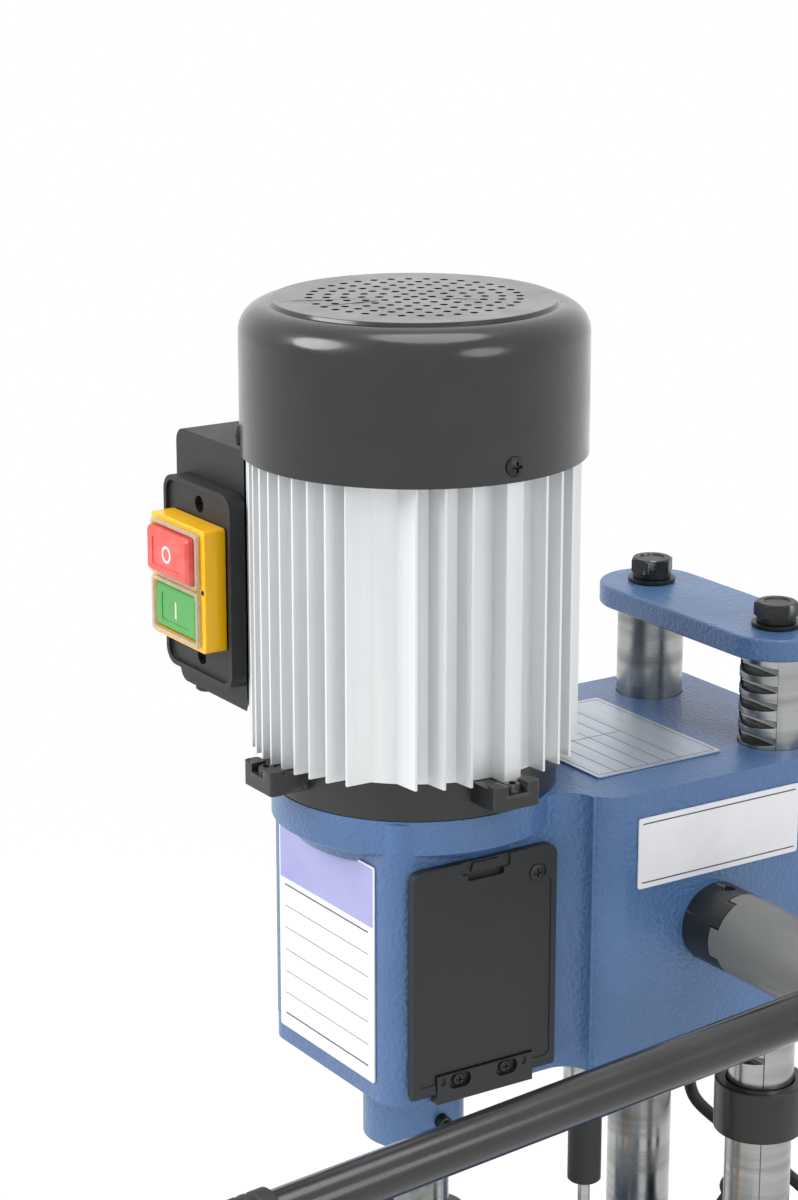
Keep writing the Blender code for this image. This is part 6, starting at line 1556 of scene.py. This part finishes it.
@dataclass
class SpringUnit:
    """Balance spring's tube, sleeve and rod, in millimetres."""

    x: float = 20.0
    y: float = 78.0

    def build(self) -> None:
        """Build the tube, the sleeve and the rod with its piston and nut."""
        low, top = 253.0, 380.0
        tube = [(8.5, low), (9.6, low), (10, low + 0.4), (10, top), (0, top), (0, top - 2), (8.5, top - 2)]
        Shape.lathe(tube, 56).move(self.x, self.y).dress("spring_case", "head", TURNED, ["spring_tube"])
        low = 220.0
        sleeve = [(3.35, low), (6.9, low), (7.5, low + 0.6), (7.5, 252.7), (3.35, 252.7)]
        Shape.lathe(sleeve, 48).move(self.x, self.y).dress("spring_bush", "head", NYLON, ["spring_sleeve"])
        rod = Shape.lathe([(0, 52), (2.75, 52), (2.75, 308), (8, 308), (8, 312), (0, 312)], 40)
        nut = Shape.rod(6.5, 60, 65, 6)
        nut.clip(Shape.lathe([(0, 60), (6.0, 60), (6.5, 60.5), (6.5, 64.4), (5.7, 65), (0, 65)], 40))
        thread = [(2.76, 65)]
        for k in range(10):
            thread += [(2.76, 65.2 + k), (3.0, 65.5 + k), (3.0, 65.7 + k), (2.76, 66.0 + k)]
        ridge = Shape.lathe([(0, 64.9), *thread, (0, 75.2)], 40)
        rod.gather(nut, ridge).move(self.x, self.y).dress("spring_pin", "frame", TURNED, ["spring_rod"])


@dataclass
class Fence:
    """Fence plate, bar, bracket, lock handle and hold-down, in millimetres."""

    low: float = 78.5
    high: float = 133.0
    bar_z: float = 113.0
    post_x: float = -50.0
    post_y: float = 44.0
    arm_z: float = 168.0
    lock_y: float = 163.0

    def plate(self) -> None:
        """Build the fence plate with its post boss."""
        plate = Shape.prism(rounded((-140, 140), (self.low, self.high), 10, 8), -34, -25).turn("X", 90)
        boss = Shape.rod(14, self.low + 0.3, self.high - 0.3, 56).move(self.post_x, self.post_y)
        plate.unite(boss)
        hole = Shape.rod(7.3, 87.7, 140, 48).move(self.post_x, self.post_y)
        spigot = Shape.rod(5.0, 27.7, 36, 32).turn("X", -90).move(0, 0, self.bar_z)
        plate.carve(hole, spigot).soften(1.2, 3).dress("fence_face_iron", "fence", ENAMEL, ["fence_plate"])
        profile = [(0, 28), (4.7, 28), (4.7, 34.3), (7.6, 34.3), (8, 34.7), (8, 224.4), (7.4, 225), (0, 225)]
        bar = Shape.lathe(profile, 56).turn("X", -90).move(0, 0, self.bar_z)
        bar.dress("fence_rod", "fence", TURNED, ["fence_bar"])
        post = Shape.lathe(
            [(0, 88), (7, 88), (7, 237), (6, 238), (0, 238)], 48
        ).move(self.post_x, self.post_y)
        post.dress("post_rod", "fence", TURNED, ["hold_down_post"])

    def bracket(self) -> None:
        """Build the bracket on the base."""
        body = Shape.prism(rounded((-17, 17), (145, 181), 3, 5), 60, 150)
        bore = Shape.rod(8.3, 144, 182, 40).turn("X", -90).move(0, 0, self.bar_z)
        body.carve(bore, Shape.rod(4.3, self.bar_z, 151, 32).move(0, self.lock_y))
        body.carve(*[Shape.rod(2.8, 59, 74.6, 16).move(x, self.lock_y) for x in (-11.5, 11.5)])
        body.soften(1.3, 3).dress("bracket_iron", "frame", ENAMEL, ["fence_bracket"])
        stem = [
            (0, 121.5), (4, 121.5), (4, 150.3), (8.2, 150.3), (9, 151.1), (9, 169), (7.8, 170.3),
            (0, 170.3)
        ]
        handle = Shape.lathe(stem, 40).move(0, self.lock_y)
        ball = arc((0, 26), 6, -72, 90, 12)
        arm = Shape.lathe([(0, 0), (3.2, 0), (2.6, 20.3), *[(r, h) for r, h in ball[1:-1]], (0, 32)], 32)
        arm.turn("X", 48 - 90).move(0, self.lock_y, 160.3)
        handle.unite(arm).soften(0.5, 2, 35)
        handle.dress("lock_lever", "fence_lock", NYLON, ["fence_lock_handle"])

    def hold_down(self) -> None:
        """Build the forked arm and its clamping knob."""
        z = self.arm_z
        arm = Shape.prism(rounded((self.post_x - 7, 20), (-40, 38), 6, 6), z, z + 6)
        arm.unite(Shape.rod(14, z - 0.3, z + 18, 56).move(self.post_x, self.post_y))
        slot = Shape.block((-9, 9), (-41, 19), (z - 1, z + 7))
        notch = Shape.block((-66, -20), (-41, 24), (z - 1, z + 7))
        bore = Shape.rod(7.3, z - 1, z + 20, 48).move(self.post_x, self.post_y)
        tap = Shape.rod(3.3, 7, 16, 24).turn("Y", -90).move(self.post_x, self.post_y, z + 12)
        arm.carve(slot, notch, bore, tap).soften(0.9, 3).dress(
            "fork_arm", "hold_down", BLACK_PAINT, ["hold_down_arm"]
        )
        outline = []
        for k in range(96):
            angle = math.tau * k / 96
            radius = 9.3 + 0.7 * math.cos(6 * angle)
            outline.append((radius * math.cos(angle), radius * math.sin(angle)))
        knob = Shape.prism(outline, 23, 35).soften(1.2, 3, 40)
        stem = Shape.rod(3, 7.6, 23.5, 28)
        knob.paint(NYLON).gather(stem.paint(BLACK_OXIDE)).turn("Y", -90).move(
            self.post_x, self.post_y, z + 12
        )
        knob.dress("clamp_knob", "hold_down_clamp", NYLON, ["hold_down_knob"])

    def build(self) -> None:
        """Build the whole fence."""
        self.plate()
        self.bracket()
        self.hold_down()


@dataclass
class Lead:
    """Mains lead: free stretch, coil behind the base and plug, in metres."""

    radius: float = 0.003
    route: tuple[Point3, ...] = (
        (-0.0300, 0.1805, 0.2527), (-0.0303, 0.1806, 0.2460), (-0.0320, 0.1810, 0.2360),
        (-0.0360, 0.1825, 0.2250),
        (-0.0385, 0.1845, 0.2155), (-0.0365, 0.1870, 0.2080), (-0.0290, 0.1905, 0.2023),
        (-0.0150, 0.1940, 0.1975),
        (0.0000, 0.1970, 0.1930), (0.0190, 0.2000, 0.1870), (0.0320, 0.2025, 0.1815),
        (0.0450, 0.2060, 0.1730),
        (0.0560, 0.2100, 0.1600), (0.0655, 0.2150, 0.1390), (0.0705, 0.2205, 0.1180),
        (0.0725, 0.2275, 0.0940),
        (0.0740, 0.2360, 0.0690), (0.0750, 0.2450, 0.0450), (0.0752, 0.2540, 0.0260),
        (0.0746, 0.2625, 0.0125),
        (0.0735, 0.2695, 0.0055), (0.0720, 0.2760, 0.0033), (0.0562, 0.2962, 0.0033),
    )
    centre: Point2 = (-0.012, 0.308)
    low: float = 0.0033
    inner: float = 0.026
    pitch: float = 0.0068
    start: float = math.radians(38)
    turns_in: float = 3.0
    turns_out: float = 3.1444
    tail: float = 0.036
    plug_height: float = 0.0193

    @staticmethod
    def smooth(points: Sequence[Point3], steps: int) -> list[Vector]:
        """Run one smooth curve through points.

        Args:
            points: The route.
            steps: Stretches between two points.

        Returns:
            Points on the curve.
        """
        route = [Vector(p) for p in points]
        route = [2 * route[0] - route[1], *route, 2 * route[-1] - route[-2]]
        made = []
        for a, b, c, d in zip(route, route[1:], route[2:], route[3:]):
            for step in range(steps):
                t = step / steps
                bend = (2 * a - 5 * b + 4 * c - d) * t ** 2 + (3 * b - a - 3 * c + d) * t ** 3
                made.append((2 * b + (c - a) * t + bend) / 2)
        made.append(route[-2])
        return made

    def coil(self) -> list[Vector]:
        """Points of the coil: inward on the bench, a climb, then outward on top."""
        turns = self.turns_in + self.turns_out
        count = round(turns * 36)
        points = []
        for step in range(count + 1):
            turn = turns * step / count
            away = turn - self.turns_in
            radius = self.inner + self.pitch * math.hypot(away, 0.08)
            climb = min(max(away * 2 + 0.5, 0), 1)
            angle = self.start + math.tau * turn
            x = self.centre[0] + radius * math.cos(angle)
            y = self.centre[1] + radius * math.sin(angle)
            points.append(Vector((x, y, self.low + self.pitch * climb * climb * (3 - 2 * climb))))
        return points

    def line(self) -> tuple[list[Vector], Vector, Vector]:
        """Return the lead's whole line, the plug's start and its heading."""
        coil = self.coil()
        free = self.smooth([*self.route, (0.0404, 0.3164, 0.0033), tuple(coil[0])], 4)
        heading = coil[-1] - coil[-2]
        heading.z = 0
        heading.normalize()
        back = coil[-1] + heading * self.tail
        back.z = self.plug_height
        rise = []
        for step in range(1, 11):
            share = step / 10
            spot = coil[-1].lerp(back, share)
            spot.z = coil[-1].z + (self.plug_height - coil[-1].z) * share * share * (3 - 2 * share)
            rise.append(spot)
        end = back + heading * 0.007
        return [*free[:-1], *coil, *rise, end], back + heading * 0.0073, heading

    def sleeve(self, points: Sequence[Vector]) -> bpy.types.Object:
        """Skin the lead's round sheath along its line.

        Args:
            points: The line.

        Returns:
            A mesh with closed ends and a UV map along its length.
        """
        data = bpy.data.curves.new("lead", "CURVE")
        data.dimensions = "3D"
        data.bevel_depth = self.radius
        data.bevel_resolution = 4
        data.use_fill_caps = True
        spline = data.splines.new("POLY")
        spline.points.add(len(points) - 1)
        for point, spot in zip(spline.points, points):
            point.co = (*spot, 1)
        holder = bpy.data.objects.new("lead", data)
        bpy.context.scene.collection.objects.link(holder)
        bpy.context.view_layer.update()
        mesh = bpy.data.meshes.new_from_object(holder)
        bpy.data.objects.remove(holder)
        made = bpy.data.objects.new("mains_lead", mesh)
        bpy.context.scene.collection.objects.link(made)
        mesh.materials.clear()
        mesh.materials.append(RUBBER.material())
        mesh.shade_smooth()
        return made

    def plug(self, start: Vector, heading: Vector) -> bpy.types.Object:
        """Build the moulded plug with ribbed neck and two pins.

        Args:
            start: Where the lead enters it.
            heading: The way it points.

        Returns:
            The finished plug.
        """
        rings = [(4.6, 0), (4.9, 1)]
        for k in range(4):
            rings += [(5.4, 2.5 + 3.6 * k), (5.4, 4.3 + 3.6 * k), (4.7, 4.8 + 3.6 * k), (4.7, 5.6 + 3.6 * k)]
        body = [
            (7.5, 18.5), (15.5, 24.5), (18.2, 27.5), (19, 31), (19, 46), (18.2, 47.4), (17.0, 48),
            (0, 48)
        ]
        shell = Shape.lathe([(0, 0), *rings, *body], 48)
        groove = [Shape.block((14.2, 22), (-30, 30), (30 + 4 * k, 31.2 + 4 * k)) for k in range(4)]
        other = [Shape.block((-22, -14.2), (-30, 30), (30 + 4 * k, 31.2 + 4 * k)) for k in range(4)]
        shell.carve(*groove, *other).paint(RUBBER)
        pins = []
        for side in (-1, 1):
            pin = Shape.lathe([(0, 46), (2.4, 46), (2.4, 65.6), (1.9, 66.6), (1.0, 67), (0, 67)], 24)
            pins.append(pin.move(0, side * 9.5).paint(NICKEL))
        shell.gather(*pins).turn("Y", 90).turn("Z", math.degrees(math.atan2(heading.y, heading.x)))
        shell.move(*[1000 * c for c in start])
        return shell.dress("lead_plug", "frame", RUBBER, ["cord_plug"])

    def build(self) -> None:
        points, start, heading = self.line()
        lead = self.sleeve(points)
        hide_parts("mains_cord", "cord_coil")
        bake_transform(lead)
        plug = self.plug(start, heading)


@dataclass
class Inside:
    """CAD nodes that keep their shape and get their real material."""

    finishes: dict[str, Finish] = field(default_factory=lambda: {
        "motor_shaft": TURNED, "rotor": LAMINATED, "stator_core": LAMINATED, "lower_bearing": TURNED,
        "upper_bearing": TURNED, "switch_block": NYLON, "pinion_shaft": TURNED, "pinion_gear": TOOL,
        "balance_spring": TURNED,
    })

    def build(self) -> None:
        """Dress the nodes that are kept."""
        for node, finish in self.finishes.items():
            data = frame["nodes"][node].data
            data.materials.clear()
            data.materials.append(finish.material())
            LOG.info("%s keeps its solid", node)


@dataclass
class Studio:
    """Pale floor, soft lights and the camera at the photograph's angle, in metres."""

    eye: Point3 = (1.0073, -0.66084, 0.83415)
    pitch: float = 15.713
    azimuth: float = 57.03
    lens: float = 90.77
    sky: float = 0.62
    near: float = 0.25
    far: float = 1.3
    near_white: float = 0.55
    lamps: tuple[tuple[str, Point3, float, float], ...] = (
        ("key", (-0.6, -2.0, 1.9), 1.5, 42.0),
        ("side", (2.2, 0.5, 1.4), 1.2, 10.0),
        ("top", (0.2, 0.1, 2.6), 1.6, 20.0),
    )

    def seen(self, tree: bpy.types.NodeTree) -> bpy.types.NodeSocket:
        """Tell the rays that see a surface, straight or in metal and glass, from those that light it.

        Args:
            tree: Node tree that gets the nodes.

        Returns:
            An output that is 1 for a ray that sees and 0 for a ray that lights.
        """
        path = add_node(tree, "ShaderNodeLightPath").outputs
        largest = {"operation": "MAXIMUM"}
        straight = add_node(
            tree, "ShaderNodeMath", largest, {0: path["Is Camera Ray"], 1: path["Is Glossy Ray"]}
        )
        either = add_node(
            tree, "ShaderNodeMath", largest,
            {0: straight.outputs[0], 1: path["Is Transmission Ray"]}
        )
        return either.outputs[0]

    def backdrop(self) -> None:
        """Light the world softly and show it white to the camera and in reflections."""
        world = bpy.data.worlds.new("studio")
        world.use_nodes = True
        tree = world.node_tree
        tree.nodes.clear()
        soft = add_node(
            tree, "ShaderNodeBackground", {"Color": (1, 1, 1, 1), "Strength": self.sky}
        ).outputs[0]
        white = add_node(tree, "ShaderNodeBackground", {"Color": (1, 1, 1, 1), "Strength": 1.0}).outputs[0]
        mixed = add_node(
            tree, "ShaderNodeMixShader", None, {0: self.seen(tree), 1: soft, 2: white}
        ).outputs[0]
        add_node(tree, "ShaderNodeOutputWorld", None, {"Surface": mixed})
        bpy.context.scene.world = world

    def floor(self) -> None:
        """Lay the pale floor, which is seen whiter the farther it lies from the machine's shadow."""
        mesh = bpy.data.meshes.new("floor")
        build = bmesh.new()
        bmesh.ops.create_circle(build, cap_ends=True, segments=64, radius=30)
        build.to_mesh(mesh)
        build.free()
        made = bpy.data.objects.new("floor", mesh)
        made.location.z = -0.0005
        bpy.context.scene.collection.objects.link(made)
        paint = bpy.data.materials.new("white_floor_paint")
        paint.use_nodes = True
        tree = paint.node_tree
        tree.nodes.clear()
        matt = add_node(tree, "ShaderNodeBsdfDiffuse", {"Color": (0.93, 0.93, 0.93, 1)}).outputs[0]
        white = add_node(tree, "ShaderNodeEmission", {"Color": (1, 1, 1, 1), "Strength": 1.0}).outputs[0]
        place = add_node(tree, "ShaderNodeTexCoord").outputs["Object"]
        away = add_node(tree, "ShaderNodeVectorMath", {"operation": "LENGTH"}, {0: place}).outputs["Value"]
        reach = {"From Min": self.near, "From Max": self.far, "To Min": self.near_white, "To Max": 1.0}
        share = add_node(tree, "ShaderNodeMapRange", reach, {"Value": away}).outputs[0]
        shown = add_node(
            tree, "ShaderNodeMath", {"operation": "MULTIPLY"}, {0: self.seen(tree), 1: share}
        ).outputs[0]
        mixed = add_node(tree, "ShaderNodeMixShader", None, {0: shown, 1: matt, 2: white}).outputs[0]
        add_node(tree, "ShaderNodeOutputMaterial", None, {"Surface": mixed})
        mesh.materials.append(paint)

    def light(self) -> None:
        """Hang the soft lamps."""
        for name, place, size, power in self.lamps:
            data = bpy.data.lights.new(name, "AREA")
            data.shape = "DISK"
            data.size = size
            data.energy = power
            lamp = bpy.data.objects.new(name, data)
            lamp.location = place
            lamp.rotation_euler = (Vector((0, 0, 0.4)) - Vector(place)).to_track_quat("-Z", "Y").to_euler()
            bpy.context.scene.collection.objects.link(lamp)

    def camera(self) -> None:
        """Stand the camera where the photograph was taken."""
        data = bpy.data.cameras.new("camera")
        data.sensor_width = 36
        data.lens = self.lens
        data.clip_end = 100
        made = bpy.data.objects.new("camera", data)
        made.location = self.eye
        made.rotation_euler = (math.radians(90 - self.pitch), 0, math.radians(self.azimuth))
        bpy.context.scene.collection.objects.link(made)
        bpy.context.scene.camera = made

    def build(self) -> None:
        """Build the whole studio."""
        self.camera()
        self.backdrop()
        self.floor()
        self.light()
        bpy.context.scene.view_settings.view_transform = "Standard"


def main() -> None:
    """Build the scene."""
    logging.basicConfig(level=logging.INFO, format="%(message)s")
    Studio().build()
    Lead().build()
    for part in (
        Base(), DepthStop(), Head(), Motor(), Switch(), Spindle(), Feed(), SpringUnit(), Fence(),
        Inside()
    ):
        part.build()


if __name__ == "__main__":
    main()
